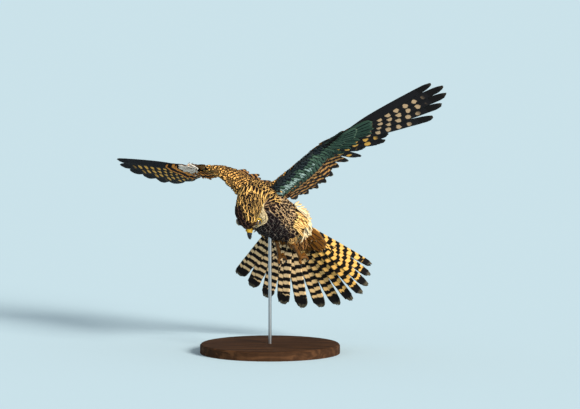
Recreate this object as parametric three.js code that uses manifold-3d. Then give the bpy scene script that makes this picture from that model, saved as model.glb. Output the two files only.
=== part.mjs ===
// A common kestrel (female) hovering with its head down, life size, on a plain display stand.
// Millimetres, +Z up. The origin is the centre of the underside of the stand's base.
// The bird is seen along +Y with +X to the right, so its left wing is on the +X side.
import * as THREE from "three";
import { mergeVertices } from "three/addons/utils/BufferGeometryUtils.js";
import Module from "manifold-3d";

const wasm = await Module();
wasm.setup();

const vec = (x, y, z) => new THREE.Vector3(x, y, z);
const unit = (x, y, z) => vec(x, y, z).normalize();
const rad = THREE.MathUtils.degToRad;
const { lerp } = THREE.MathUtils;

// Clearance between neighbouring pieces, the distance within which vertices are one, how far a face
// may move when the slivers that cuts leave are cleared away, and how far it is then drawn in
const GAP = 0.35;
const MERGE_WITHIN = 1e-3;
const CLEAR_WITHIN = 0.1;
const DRAW_IN = 0.02;

// The bird is modelled round the root of its tail, leant back about X, and set at this height
const LEAN = rad(5);
const TAIL_ROOT_AT = vec(30, 50, 200);

// Trunk: its length from the tail root to the shoulders, and how it is turned
const TRUNK_LENGTH = 108;
const BODY_YAW = rad(25);
const BODY_PITCH = rad(20);
const BODY_ROLL = rad(10);

// Head: its centre from the tail root, and the eyes' places in its frame
const HEAD_CENTRE = vec(-60, -137, 3);
const EYE_RADIUS = 6;
const EYE_AT = { forward: 9.5, out: 13.4, up: 2.5 };

// Wing skeleton
const SHOULDER_OUT = 18;
const SHOULDER_UP = 2;
const HAND_LENGTH = 58;
const FIRST_PRIMARY_AT = 6;
const PRIMARY_SPACING = 5.55;
const ELBOW_ALONG = 0.45;
const ELBOW_BACK = 30;
const EDGE_AHEAD = 7;

// Flight feathers: widest width of the vanes, outermost first, and how thick a vane is
const PRIMARY_COUNT = 10;
const SECONDARY_COUNT = 10;
const TERTIAL_COUNT = 3;
const PRIMARY_WIDTHS = [17, 21, 22, 24, 26];
const SECONDARY_WIDTH = 25;
const VANE_THICKNESS = 0.9;

// Tail
const TAIL_FEATHER_COUNT = 12;
const TAIL_LENGTHS = [148, 166, 171, 161, 139];
const TAIL_WIDTH = 20;
const TAIL_ROOT_SPREAD = 11;

// Legs
const TARSUS_LENGTH = 36;
const TARSUS_RADIUS = 2.9;
const TOE_RADIUS = 2.5;
const BALL_RADIUS = 3.9;
const CLAW_LENGTH = 9;

// Stand
const BASE_RADIUS = 105;
const BASE_HEIGHT = 14;
const BASE_BEVEL = 2;
const ROD_RADIUS = 2.5;
const ROD_FOOT = 4;
const ROD_TOP = 186;

// A frame of a body part: forward, left and up, each a unit vector
function frameOf(forward, up) {
  const left = up.clone().cross(forward).normalize();
  return { forward, left, up: forward.clone().cross(left).normalize() };
}

// The trunk's frame from its turns: yaw to the viewer's left, then nose up, then the left side up
function bodyFrame() {
  const forward = vec(
    -Math.sin(BODY_YAW) * Math.cos(BODY_PITCH),
    -Math.cos(BODY_YAW) * Math.cos(BODY_PITCH),
    Math.sin(BODY_PITCH),
  );
  const level = frameOf(forward, vec(0, 0, 1));
  return frameOf(forward, level.up.clone().applyAxisAngle(forward, -BODY_ROLL));
}

const body = bodyFrame();
const head = frameOf(unit(-0.02, -0.1, -0.995), unit(-0.3, -0.95, 0.1));

// A point from sizes along a frame's axes, counted from an origin
function along(frame, origin, forward, left, up) {
  return origin
    .clone()
    .addScaledVector(frame.forward, forward)
    .addScaledVector(frame.left, left)
    .addScaledVector(frame.up, up);
}

const TAIL_ROOT = vec(0, 0, 0);
const SHOULDERS = along(body, TAIL_ROOT, TRUNK_LENGTH, 0, 0);

// Value of a smooth curve through evenly spaced values, at t from 0 to 1
function curveThrough(values, t) {
  const spans = values.length - 1;
  const i = Math.min(Math.floor(t * spans), spans - 1);
  const s = t * spans - i;
  const [b, c] = [values[i], values[i + 1]];
  const a = i > 0 ? values[i - 1] : 2 * b - c;
  const d = i + 2 <= spans ? values[i + 2] : 2 * c - b;
  const [v0, v1] = [(c - a) / 2, (d - b) / 2];
  return (2 * (b - c) + v0 + v1) * s ** 3 + (3 * (c - b) - 2 * v0 - v1) * s ** 2 + v0 * s + b;
}

// A direction or point on the smooth curve through vectors
function vectorThrough(vectors, t) {
  return vec(...["x", "y", "z"].map((axis) => curveThrough(vectors.map((v) => v[axis]), t)));
}

// The rows of a table of sizes, made finer: every column is a smooth curve
function finer(rows, count) {
  return Array.from({ length: count }, (_, k) =>
    rows[0].map((_, column) =>
      curveThrough(rows.map((row) => row[column]), k / (count - 1))));
}

// A ring of points round an ellipse that lies in the plane of two axes
function ellipse(centre, across, upward, width, height, points) {
  return Array.from({ length: points }, (_, k) => {
    const angle = (2 * Math.PI * k) / points;
    return centre
      .clone()
      .addScaledVector(across, width * Math.cos(angle))
      .addScaledVector(upward, height * Math.sin(angle));
  });
}

// A closed surface through rings that have the same number of points
function skinOver(rings) {
  const n = rings[0].length;
  const last = (rings.length - 1) * n;
  const positions = rings.flat().flatMap((p) => [p.x, p.y, p.z]);
  const index = [];
  for (let i = 0; i < rings.length - 1; i++) {
    for (let j = 0; j < n; j++) {
      const [a, b] = [i * n + j, i * n + ((j + 1) % n)];
      index.push(a, b, b + n, a, b + n, a + n);
    }
  }
  for (let j = 1; j < n - 1; j++) {
    index.push(0, j + 1, j);
    index.push(last, last + j, last + j + 1);
  }
  const geometry = new THREE.BufferGeometry();
  geometry.setAttribute("position", new THREE.Float32BufferAttribute(positions, 3));
  geometry.setIndex(index);
  return geometry;
}

// Six times the volume that an indexed mesh encloses, negative if it is inside out
function signedVolume(points, index) {
  const corner = (k) => vec(points[3 * k], points[3 * k + 1], points[3 * k + 2]);
  let sum = 0;
  for (let i = 0; i < index.length; i += 3) {
    sum += corner(index[i]).dot(corner(index[i + 1]).cross(corner(index[i + 2])));
  }
  return sum;
}

// A closed geometry as a solid for joining and cutting, with its faces turned outwards
function solid(geometry) {
  const bare = geometry.clone();
  bare.deleteAttribute("normal");
  bare.deleteAttribute("uv");
  const merged = mergeVertices(bare, MERGE_WITHIN);
  const points = new Float32Array(merged.attributes.position.array);
  const triVerts = new Uint32Array(merged.index.array);
  if (signedVolume(points, triVerts) < 0) triVerts.reverse();
  return new wasm.Manifold(new wasm.Mesh({ numProp: 3, vertProperties: points, triVerts }));
}

const loft = (rings) => solid(skinOver(rings));
const joined = (solids) => solids.reduce((whole, next) => whole.add(next));
const cutBy = (piece, others) => others.reduce((left, next) => left.subtract(next), piece);

// The largest of the bodies that a cut leaves, without the hollows that thin layers close in
function largest(cut) {
  return cut.decompose().reduce((a, b) => (b.volume() > a.volume() ? b : a));
}

// Trunk: rows of distance ahead of the tail root, drop below the spine, half width, half depth
const TRUNK_ROWS = [
  [-18, 8, 12, 6],
  [-12, 12, 24, 16],
  [6, 14, 34, 27],
  [28, 16, 35.5, 32],
  [55, 17, 33, 34],
  [82, 15, 33, 34],
  [104, 12, 30, 30],
  [120, 9, 21, 20],
  [126, 8, 9, 8],
];

function trunkSolid(grow = 0) {
  return loft(finer(TRUNK_ROWS, 13).map(([ahead, drop, width, depth]) =>
    ellipse(along(body, TAIL_ROOT, ahead, 0, -drop), body.left, body.up,
      width + grow, depth + grow, 16)));
}

// Neck: rings that turn about a hinge line at the throat, from the trunk's frame to the head's
const NECK_FROM = { ahead: 108, drop: 10 };
const NECK_TO = { ahead: -10, rise: 0.5 };
const NECK_REACH = [27, 24.5];
const NECK_HALF_WIDTH = [29, 26, 22.5, 21, 21.5];
const NECK_HALF_DEPTH = [26, 24.6, 23, 22, 21.5];

function turnOf(frame) {
  const basis = new THREE.Matrix4().makeBasis(frame.forward, frame.left, frame.up);
  return new THREE.Quaternion().setFromRotationMatrix(basis);
}

function neckSolid(grow = 0) {
  const [reachFrom, reachTo] = NECK_REACH;
  const from = along(body, TAIL_ROOT, NECK_FROM.ahead, 0, -NECK_FROM.drop - reachFrom);
  const to = along(head, HEAD_CENTRE, NECK_TO.ahead, 0, NECK_TO.rise - reachTo);
  const rings = Array.from({ length: 7 }, (_, k) => {
    const t = k / 6;
    const turn = turnOf(body).slerp(turnOf(head), t);
    const left = vec(0, 1, 0).applyQuaternion(turn);
    const up = vec(0, 0, 1).applyQuaternion(turn);
    const centre = from.clone().lerp(to, t).addScaledVector(up, lerp(reachFrom, reachTo, t));
    return ellipse(centre, left, up, curveThrough(NECK_HALF_WIDTH, t) + grow,
      curveThrough(NECK_HALF_DEPTH, t) + grow, 16);
  });
  return loft(rings);
}

// Head: rows of distance ahead of its centre, rise, half width, half depth
const HEAD_ROWS = [
  [-13, 0.5, 21, 21],
  [-6, 0.5, 22, 21.5],
  [2, 0.5, 21.5, 20],
  [9, 0, 18.8, 17.5],
  [14, -1, 14.8, 14],
  [18, -2, 10, 10.5],
  [20.5, -2.6, 6.6, 7.4],
];

function rowsOnHead(rows, count, points, grow = 0) {
  return loft(finer(rows, count).map(([ahead, rise, width, depth]) =>
    ellipse(along(head, HEAD_CENTRE, ahead, 0, rise), head.left, head.up,
      width + grow, depth + grow, points)));
}

// Cere and bill: rows of distance ahead of the head's centre, rise, half width, half depth
const CERE_ROWS = [
  [17, -2.6, 5, 5.6],
  [21, -2.7, 5, 5.4],
  [25.5, -3, 4, 4.6],
];
const BILL_UPPER_ROWS = [
  [25.9, -2.4, 3.7, 3.7],
  [29.5, -3, 3.1, 3.4],
  [32.6, -4.6, 2.2, 2.9],
  [34.2, -7, 1.2, 2.2],
  [34.4, -9.4, 0.4, 0.7],
];
const BILL_LOWER_ROWS = [
  [25.9, -7.2, 2.6, 0.8],
  [28.6, -7.4, 2.3, 0.8],
  [31.2, -7.8, 1.4, 0.5],
];

function eyeSolid(side, grow = 0) {
  const ball = new THREE.SphereGeometry(EYE_RADIUS + grow, 10, 6);
  const at = along(head, HEAD_CENTRE, EYE_AT.forward, side * EYE_AT.out, EYE_AT.up);
  return solid(ball.translate(at.x, at.y, at.z));
}

// Wings. The arm runs from the shoulder to the wrist and the hand on from there. `fold` is how
// far the loose skin hangs down before the shoulder. Feathers are counted inwards from the wing
// tip: the directions are those of the outermost primary, of every third feather after it, and of
// the innermost tertial.
const WINGS = {
  left: {
    side: 1,
    wrist: vec(41.5, -112, 98),
    hand: unit(0.62, -0.64, 0.416),
    directions: [
      unit(0.665, -0.615, 0.424),
      unit(0.853, -0.429, 0.298),
      unit(0.955, 0.08, 0.06),
      unit(0.38, 0.89, -0.26),
      unit(0.3, 0.9, -0.33),
      unit(0.2, 0.92, -0.32),
      unit(0.06, 0.95, -0.3),
      unit(0, 0.96, -0.28),
    ],
    primaryLengths: [176, 191, 190, 176, 156, 87, 80, 68, 76, 88],
    secondaryLengths: [86, 88, 94],
    fold: vec(0, 0, 0),
  },
  right: {
    side: -1,
    wrist: vec(-122, -14, 69),
    hand: unit(-0.6, 0.79, 0.12),
    directions: [
      unit(-0.667, 0.739, 0.098),
      unit(-0.502, 0.864, -0.036),
      unit(-0.263, 0.956, -0.131),
      unit(0.3, 0.94, 0.02),
      unit(0.45, 0.89, 0.03),
      unit(0.55, 0.83, -0.06),
      unit(0.62, 0.78, -0.06),
      unit(0.5, 0.85, -0.14),
    ],
    primaryLengths: [183, 198, 195, 183, 166, 150, 122, 112, 104, 98],
    secondaryLengths: [95, 104, 104],
    fold: vec(-3, -5, -16),
  },
};
const TERTIAL_LENGTHS = [90, 78, 66];
const FEATHER_COUNT = PRIMARY_COUNT + SECONDARY_COUNT + TERTIAL_COUNT;

// Shares of a vane's length with the share of its widest width that it has there
const VANE_STATIONS = [
  [0, 0.45],
  [0.35, 1],
  [0.87, 0.86],
  [1, 0.14],
];
const OUTER_WEB = 0.34;

// A feather's vane: a thin blade along a shaft that bends towards `across` and away from `normal`
function vaneSolid({ root, direction, across, length, width, outerWeb, sweep, droop }, grow = 0) {
  const normal = direction.clone().cross(across).normalize();
  const rings = VANE_STATIONS.map(([t, share]) => {
    const shaft = root
      .clone()
      .addScaledVector(direction, t * length + (t === 1 ? grow : 0))
      .addScaledVector(across, sweep * length * t * t)
      .addScaledVector(normal, droop * length * t * t);
    const place = (aside, height) =>
      shaft.clone().addScaledVector(across, aside).addScaledVector(normal, height);
    const outer = -width * share * outerWeb - grow;
    const inner = width * share * (1 - outerWeb) + grow;
    const half = VANE_THICKNESS / 2 + grow;
    return [place(outer, half), place(inner, half), place(inner, -half), place(outer, -half)];
  });
  return loft(rings);
}

// Feathers that lie side by side with only their tips apart: one thin sheet with a scalloped edge
const SHEET_MIDDLE = 0.5;
const SHEET_NOTCH = 0.94;

function sheetSolid(feathers, grow = 0) {
  const last = feathers.length - 1;
  const rings = Array.from({ length: 2 * last + 3 }, (_, column) => {
    const place = THREE.MathUtils.clamp((column - 1) / 2, -0.5, last + 0.5);
    const [a, b] = [Math.floor(place), Math.ceil(place)]
      .map((k) => feathers[THREE.MathUtils.clamp(k, 0, last)]);
    const share = place === Math.floor(place) ? 1 : SHEET_NOTCH;
    const aside = place < 0 ? -a.width * a.outerWeb - grow : place > last ? b.width / 2 + grow : 0;
    const normal = a.direction.clone().cross(a.across)
      .add(b.direction.clone().cross(b.across)).normalize();
    const at = (t, height) => {
      const onA = a.root.clone().addScaledVector(a.direction, t * a.length + (t > 0 ? grow : 0));
      const onB = b.root.clone().addScaledVector(b.direction, t * b.length + (t > 0 ? grow : 0));
      return onA.lerp(onB, 0.5).addScaledVector(a.across, aside).addScaledVector(normal, height);
    };
    const half = VANE_THICKNESS / 2 + grow;
    return [at(0, half), at(SHEET_MIDDLE, half), at(share, half),
      at(share, -half), at(SHEET_MIDDLE, -half), at(0, -half)];
  });
  return loft(rings);
}

// The places and directions of one wing's flight feathers, from the wing tip inwards
function wingFeathers(wing) {
  const shoulder = along(body, SHOULDERS, 0, wing.side * SHOULDER_OUT, SHOULDER_UP);
  const armBack = vectorThrough(wing.directions, 0.75).normalize();
  const elbow = shoulder
    .clone()
    .lerp(wing.wrist, ELBOW_ALONG)
    .addScaledVector(armBack, ELBOW_BACK);
  const feathers = Array.from({ length: FEATHER_COUNT }, (_, k) => {
    const direction = vectorThrough(wing.directions, k / (FEATHER_COUNT - 1)).normalize();
    const common = { direction, outerWeb: OUTER_WEB, droop: 0.02 * wing.side };
    if (k < PRIMARY_COUNT) {
      const distance = FIRST_PRIMARY_AT + PRIMARY_SPACING * (PRIMARY_COUNT - 1 - k);
      const root = wing.wrist.clone().addScaledVector(wing.hand, distance);
      const width = curveThrough(PRIMARY_WIDTHS, k / (PRIMARY_COUNT - 1));
      return { ...common, root, length: wing.primaryLengths[k], width, sweep: 0.07 };
    }
    const inner = { ...common, width: SECONDARY_WIDTH, sweep: 0.03 };
    const secondary = k - PRIMARY_COUNT;
    if (secondary < SECONDARY_COUNT) {
      const root = wing.wrist.clone().lerp(elbow, (secondary + 0.3) / SECONDARY_COUNT);
      const length = curveThrough(wing.secondaryLengths, secondary / (SECONDARY_COUNT - 1));
      return { ...inner, root, length };
    }
    const tertial = secondary - SECONDARY_COUNT;
    const root = elbow.clone().lerp(shoulder, (tertial + 0.5) / (TERTIAL_COUNT + 1));
    return { ...inner, root, length: TERTIAL_LENGTHS[tertial] };
  });
  const middle = (f) => f.root.clone().addScaledVector(f.direction, f.length / 2);
  feathers.forEach((feather, k) => {
    const before = middle(feathers[Math.max(k - 1, 0)]);
    const after = middle(feathers[Math.min(k + 1, FEATHER_COUNT - 1)]);
    const inwards = after.sub(before);
    feather.across = inwards
      .addScaledVector(feather.direction, -inwards.dot(feather.direction))
      .normalize();
  });
  return { shoulder, elbow, feathers };
}

// Cross-section of the arm and hand with their coverts: share of the chord, share of half thickness
const SECTION = [
  [0, 0],
  [0.07, 0.75],
  [0.3, 1],
  [0.65, 0.55],
  [1, 0.12],
  [1, -0.12],
  [0.65, -0.45],
  [0.3, -0.8],
  [0.07, -0.65],
];

// A ring of the wing's flesh from its leading edge, the way the chord runs and the span's way
function wingRing({ edge, back, span, chord, thickness, camber }, side, grow) {
  const up = span.clone().cross(back).normalize().multiplyScalar(side);
  return SECTION.map(([share, height]) =>
    edge
      .clone()
      .addScaledVector(back, share * chord + (share - 0.5) * 2 * grow)
      .addScaledVector(up, (height * thickness) / 2 + Math.sign(height) * grow
        + camber * 4 * share * (1 - share)));
}

// The fold of skin before the arm: shares of its depth from the shoulder to the wrist
const FOLD_SHARES = [1, 0.95, 0.62, 0.18, 0, 0];

// The flesh of the three stretches of a wing: stations from the shoulder to the end of the hand
const WING_STRETCHES = {
  upper_arm: { from: 0, to: 0.42, chord: [64, 62, 60], thickness: [27, 25, 23], camber: 8 },
  forearm: { from: 0.43, to: 1, chord: [60, 56, 48], thickness: [23, 21, 17], camber: 9 },
  hand: { from: 0.005, to: 1, chord: [48, 36, 12], thickness: [17, 9, 4], camber: 3 },
};

function wingFlesh(wing, laid, name, grow = 0) {
  const { from, to, chord, thickness, camber } = WING_STRETCHES[name];
  const onHand = name === "hand";
  const start = onHand ? wing.wrist : laid.shoulder;
  const end = onHand
    ? wing.wrist.clone().addScaledVector(wing.hand, HAND_LENGTH)
    : wing.wrist;
  const span = end.clone().sub(start).normalize();
  const rings = [0, 0.33, 0.67, 1].map((t) => {
    const share = lerp(from, to, t);
    const feather = onHand ? lerp(9.5, 1.5, share) : lerp(22, 10, share);
    const back = vectorThrough(wing.directions, feather / (FEATHER_COUNT - 1));
    back.addScaledVector(span, -back.dot(span)).normalize();
    const edge = start.clone().lerp(end, share).addScaledVector(back, -EDGE_AHEAD);
    edge.addScaledVector(span, (t - 0.5) * 2 * grow);
    const rear = edge.clone().addScaledVector(back, curveThrough(chord, t));
    if (!onHand) edge.addScaledVector(wing.fold, curveThrough(FOLD_SHARES, share));
    return wingRing({
      edge,
      back: rear.clone().sub(edge).normalize(),
      span,
      chord: rear.distanceTo(edge),
      thickness: curveThrough(thickness, t),
      camber,
    }, wing.side, grow);
  });
  return loft(rings);
}

function wingPart(wing, laid, name, grow = 0) {
  const ranges = {
    hand: [0, PRIMARY_COUNT],
    forearm: [PRIMARY_COUNT, PRIMARY_COUNT + SECONDARY_COUNT],
    upper_arm: [PRIMARY_COUNT + SECONDARY_COUNT, FEATHER_COUNT],
  };
  const feathers = laid.feathers.slice(...ranges[name]);
  const vanes = name === "hand"
    ? feathers.map((feather) => vaneSolid(feather, grow))
    : [sheetSolid(feathers, grow)];
  return joined([wingFlesh(wing, laid, name, grow), ...vanes]);
}

// Tail: the directions of the outermost feather on the viewer's left and of every fourth of the
// fan's width after it
const TAIL_DIRECTIONS = [
  unit(-0.51, 0.64, -0.574),
  unit(-0.0975, 0.6, -0.794),
  unit(0.3575, 0.476, -0.803),
  unit(0.684, 0.25, -0.684),
  unit(0.853, 0.25, -0.457),
];

function tailFeathers() {
  const feathers = Array.from({ length: TAIL_FEATHER_COUNT }, (_, k) => {
    const t = k / (TAIL_FEATHER_COUNT - 1);
    return {
      root: along(body, TAIL_ROOT, 0, lerp(-TAIL_ROOT_SPREAD, TAIL_ROOT_SPREAD, t), -4),
      direction: vectorThrough(TAIL_DIRECTIONS, t).normalize(),
      length: curveThrough(TAIL_LENGTHS, t),
      width: TAIL_WIDTH,
      outerWeb: t < 0.5 ? lerp(0.3, 0.5, 2 * t) : lerp(0.5, 0.7, 2 * t - 1),
      sweep: lerp(0.03, -0.03, t),
      droop: -0.02,
    };
  });
  const fanWidth = TAIL_DIRECTIONS[4].clone().sub(TAIL_DIRECTIONS[0]).normalize();
  feathers.forEach((feather, k) => {
    const before = feathers[Math.max(k - 1, 0)].direction;
    const after = feathers[Math.min(k + 1, TAIL_FEATHER_COUNT - 1)].direction;
    const aside = after.clone().sub(before).normalize().add(fanWidth);
    feather.across = aside
      .addScaledVector(feather.direction, -aside.dot(feather.direction))
      .normalize();
  });
  return feathers;
}

// Tail coverts: rows of distance along the tail, half width, half depth
const TAIL_COVERT_ROWS = [
  [-4, 15, 10],
  [14, 17, 10],
  [36, 19, 6.5],
  [58, 17, 2.5],
];

function tailSolid() {
  const vanes = tailFeathers().map((feather) => vaneSolid(feather));
  const middle = TAIL_DIRECTIONS[2];
  const side = TAIL_DIRECTIONS[4].clone().sub(TAIL_DIRECTIONS[0]);
  side.addScaledVector(middle, -side.dot(middle)).normalize();
  const depth = middle.clone().cross(side);
  const coverts = loft(TAIL_COVERT_ROWS.map(([distance, halfWidth, halfDepth]) =>
    ellipse(along(body, TAIL_ROOT, 0, 0, -5).addScaledVector(middle, distance), side, depth,
      halfWidth, halfDepth, 14)));
  return joined([coverts, ...vanes]);
}

// A tapering limb through points, each with its radius
function limb(points, radii, segments = 8, steps = 6) {
  const curve = new THREE.CatmullRomCurve3(points, false, "centripetal");
  const rings = Array.from({ length: steps + 1 }, (_, k) => {
    const t = k / steps;
    const tangent = curve.getTangent(t);
    const across = vec(0.3, 0.9, 0.1).cross(tangent).normalize();
    const upward = tangent.clone().cross(across);
    const radius = curveThrough(radii, t);
    return ellipse(curve.getPoint(t), across, upward, radius, radius, segments);
  });
  return loft(rings);
}

// Legs: the heel from the tail root, the way the shank runs, and how the foot is turned
const LEGS = {
  left: { side: 1, heel: vec(6, -34, -42), shank: unit(0.25, 0.72, -0.46) },
  right: { side: -1, heel: vec(-20, -28, -38), shank: unit(0.12, 0.72, -0.56) },
};
const TOES = [
  { name: "1_hind", angle: 180, length: 11 },
  { name: "2_inner", angle: -55, length: 14 },
  { name: "3_middle", angle: 0, length: 18 },
  { name: "4_outer", angle: 55, length: 14 },
];
const THIGH_RADII = [24, 20, 9, 4];

function thighSolid(leg, grow = 0) {
  const hip = along(body, TAIL_ROOT, 26, leg.side * 15, -22);
  const knee = hip.clone().lerp(leg.heel, 0.5).addScaledVector(body.up, -2);
  return limb([hip, knee, leg.heel], THIGH_RADII.map((r) => r + grow), 12, 5);
}

// The points of a half closed toe: shares of its length down the shank's line and out from it
function toeCurve(leg, toe) {
  const ankle = leg.heel.clone().addScaledVector(leg.shank, TARSUS_LENGTH);
  const outward = body.left.clone().multiplyScalar(leg.side);
  outward.addScaledVector(leg.shank, -outward.dot(leg.shank)).normalize();
  const ahead = outward.clone().cross(leg.shank).multiplyScalar(leg.side).normalize();
  const spread = ahead
    .multiplyScalar(Math.cos(rad(toe.angle)))
    .addScaledVector(outward, Math.sin(rad(toe.angle)));
  const at = (down, out) =>
    ankle.clone().addScaledVector(leg.shank, down).addScaledVector(spread, out);
  const end = [toe.length * 0.8, toe.length * 0.55];
  return {
    ankle,
    knuckle: at(toe.length * 0.3, toe.length * 0.5),
    end: at(...end),
    bow: at(end[0] + CLAW_LENGTH * 0.5, end[1]),
    claw: at(end[0] + CLAW_LENGTH * 0.75, end[1] - CLAW_LENGTH * 0.4),
  };
}

function legSolid(leg) {
  const end = leg.heel.clone().addScaledVector(leg.shank, TARSUS_LENGTH);
  return limb([leg.heel, leg.heel.clone().lerp(end, 0.5), end],
    [TARSUS_RADIUS * 1.2, TARSUS_RADIUS, TARSUS_RADIUS * 1.15], 8, 3);
}

// The toes meet in a ball at the ankle
function footSolid(leg) {
  const { ankle } = toeCurve(leg, TOES[0]);
  const ball = new THREE.SphereGeometry(BALL_RADIUS, 8, 5).translate(ankle.x, ankle.y, ankle.z);
  const toes = TOES.map((toe) => {
    const { knuckle, end } = toeCurve(leg, toe);
    return limb([ankle, knuckle, end], [TOE_RADIUS, TOE_RADIUS, TOE_RADIUS * 0.85], 6, 3);
  });
  return joined([solid(ball), ...toes]);
}

function clawSolid(leg, toe) {
  const { end, bow, claw } = toeCurve(leg, toe);
  return limb([end, bow, claw], [1.7, 1.2, 0.35], 5, 3);
}

const group = new THREE.Group();
const lean = new THREE.Matrix4().makeRotationX(-LEAN).setPosition(TAIL_ROOT_AT);

function geometryOf(made) {
  const mesh = made.getMesh();
  const stride = mesh.numProp;
  const positions = new Float32Array(mesh.numVert * 3);
  for (let i = 0; i < mesh.numVert; i++) {
    positions.set(mesh.vertProperties.subarray(i * stride, i * stride + 3), i * 3);
  }
  const geometry = new THREE.BufferGeometry();
  geometry.setAttribute("position", new THREE.BufferAttribute(positions, 3));
  geometry.setIndex(new THREE.BufferAttribute(new Uint32Array(mesh.triVerts), 1));
  return geometry;
}

// A solid cleared of slivers and drawn in a little, so that no two of its edges touch
function cleared(made) {
  const geometry = geometryOf(largest(made).simplify(CLEAR_WITHIN));
  geometry.computeVertexNormals();
  const { position, normal } = geometry.attributes;
  for (let i = 0; i < position.array.length; i++) position.array[i] -= DRAW_IN * normal.array[i];
  return largest(solid(geometry));
}

function add(name, made, colour, roughness, metalness = 0) {
  const geometry = geometryOf(made);
  const material = new THREE.MeshStandardMaterial({ color: colour, roughness, metalness });
  const piece = new THREE.Mesh(geometry, material);
  piece.name = name;
  group.add(piece);
}

// The stand is upright, so the bird is turned into the stand's frame
const stood = (made) => made.transform(lean.elements);

function addToBird(name, made, colour, roughness) {
  add(name, cleared(stood(made)), colour, roughness);
}

const trunkGrown = trunkSolid(GAP);
const neckGrown = neckSolid(2 * GAP);
const eyes = { left: 1, right: -1 };
const eyesGrown = Object.values(eyes).map((side) => eyeSolid(side, GAP));
const cereGrown = rowsOnHead(CERE_ROWS, 3, 12, GAP);

// The rod stands in a hole in the base and ends in a hole in the belly
function rodSolid(grow = 0) {
  const radius = ROD_RADIUS + grow;
  const height = ROD_TOP - ROD_FOOT + 2 * grow;
  return solid(new THREE.CylinderGeometry(radius, radius, height, 20)
    .rotateX(Math.PI / 2)
    .translate(0, 0, (ROD_TOP + ROD_FOOT) / 2));
}

function baseSolid() {
  const profile = [
    [0, 0],
    [BASE_RADIUS, 0],
    [BASE_RADIUS, BASE_HEIGHT - BASE_BEVEL],
    [BASE_RADIUS - BASE_BEVEL, BASE_HEIGHT],
    [0, BASE_HEIGHT],
  ].map(([x, y]) => new THREE.Vector2(x, y));
  const disc = solid(new THREE.LatheGeometry(profile, 40).rotateX(Math.PI / 2));
  return disc.subtract(rodSolid(GAP));
}

add("trunk", cleared(stood(trunkSolid()).subtract(rodSolid(GAP))), 0xb98a5a, 0.85);
addToBird("neck", neckSolid().subtract(trunkGrown), 0xb07a45, 0.85);
addToBird("head", cutBy(rowsOnHead(HEAD_ROWS, 8, 16),
  [neckGrown, trunkGrown, cereGrown, ...eyesGrown]), 0xa87440, 0.85);
addToBird("cere", rowsOnHead(CERE_ROWS, 3, 12), 0xe2b93a, 0.5);
addToBird("bill_upper", rowsOnHead(BILL_UPPER_ROWS, 6, 10), 0x3a3f48, 0.35);
addToBird("bill_lower", rowsOnHead(BILL_LOWER_ROWS, 3, 8)
  .subtract(rowsOnHead(BILL_UPPER_ROWS, 6, 10, GAP)), 0x4a4f55, 0.35);
for (const [name, side] of Object.entries(eyes)) {
  addToBird(`eye_${name}`, eyeSolid(side), 0x140c08, 0.1);
}

for (const [name, wing] of Object.entries(WINGS)) {
  const laid = wingFeathers(wing);
  const part = (stretch, grow) => wingPart(wing, laid, stretch, grow);
  const handGrown = part("hand", GAP);
  const forearmGrown = part("forearm", GAP);
  addToBird(`wing_${name}_hand`, part("hand"), 0x6b5a44, 0.8);
  addToBird(`wing_${name}_forearm`,
    cutBy(part("forearm"), [handGrown, trunkGrown, neckGrown]), 0x8a6a44, 0.8);
  addToBird(`wing_${name}_upper_arm`,
    cutBy(part("upper_arm"), [handGrown, forearmGrown, trunkGrown, neckGrown]), 0x94683c, 0.8);
}

addToBird("tail", tailSolid().subtract(trunkGrown), 0xd9b888, 0.8);

for (const [name, leg] of Object.entries(LEGS)) {
  addToBird(`thigh_${name}`, thighSolid(leg).subtract(trunkGrown), 0xd8b48a, 0.85);
  addToBird(`leg_${name}`, legSolid(leg).subtract(thighSolid(leg, GAP)), 0xd9a93c, 0.6);
  addToBird(`foot_${name}`, footSolid(leg).subtract(legSolid(leg)), 0xd9a93c, 0.6);
  for (const toe of TOES) {
    addToBird(`claw_${name}_${toe.name}`, clawSolid(leg, toe).subtract(footSolid(leg)),
      0x17171a, 0.3);
  }
}

add("stand_base", baseSolid(), 0x2b2724, 0.5);
add("stand_rod", rodSolid(), 0xb9bcc0, 0.3, 1);

export default group;
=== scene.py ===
# %% [markdown]
# # A kestrel hovering on a display stand
# The object is a life-size female common kestrel, still, in the pose of a bird that hangs in
# the wind: wings up, tail fanned, head bent down. A rod on a round base holds it. The packed
# CAD model is loaded first, because it fixes where everything is. What is made after it only
# gives those solids their real surface.

# %% Load the frame
import math

import bmesh
import bpy
import numpy as np
from mathutils import Matrix, Vector
from mathutils.bvhtree import BVHTree
from mathutils.kdtree import KDTree


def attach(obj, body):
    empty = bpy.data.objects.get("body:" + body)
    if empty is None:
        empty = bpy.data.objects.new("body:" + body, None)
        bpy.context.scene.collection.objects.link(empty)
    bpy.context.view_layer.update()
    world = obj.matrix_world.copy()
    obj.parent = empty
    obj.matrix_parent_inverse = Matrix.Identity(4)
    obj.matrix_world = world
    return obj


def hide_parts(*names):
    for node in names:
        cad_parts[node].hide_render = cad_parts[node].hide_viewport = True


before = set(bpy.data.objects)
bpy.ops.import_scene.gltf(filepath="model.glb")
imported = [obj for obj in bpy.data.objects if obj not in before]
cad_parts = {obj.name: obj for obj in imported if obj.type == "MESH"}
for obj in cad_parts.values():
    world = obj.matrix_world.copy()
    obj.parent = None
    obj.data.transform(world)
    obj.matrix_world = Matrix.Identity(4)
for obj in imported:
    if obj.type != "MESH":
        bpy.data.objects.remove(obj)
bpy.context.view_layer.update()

# %% [markdown]
# ## Camera and light
# The bird is far off in the photo and seen through a long lens, so the camera stands six metres
# away. A camera close by would swell the nearer wing. It looks down a little, which keeps it
# above the floor. A pale sky lights the bird from all round, and a soft sun from the viewer's
# right gives it a bright and a shaded side. A lamp near the bird would do the same, but its
# light would fall off from one wing to the other.

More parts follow.
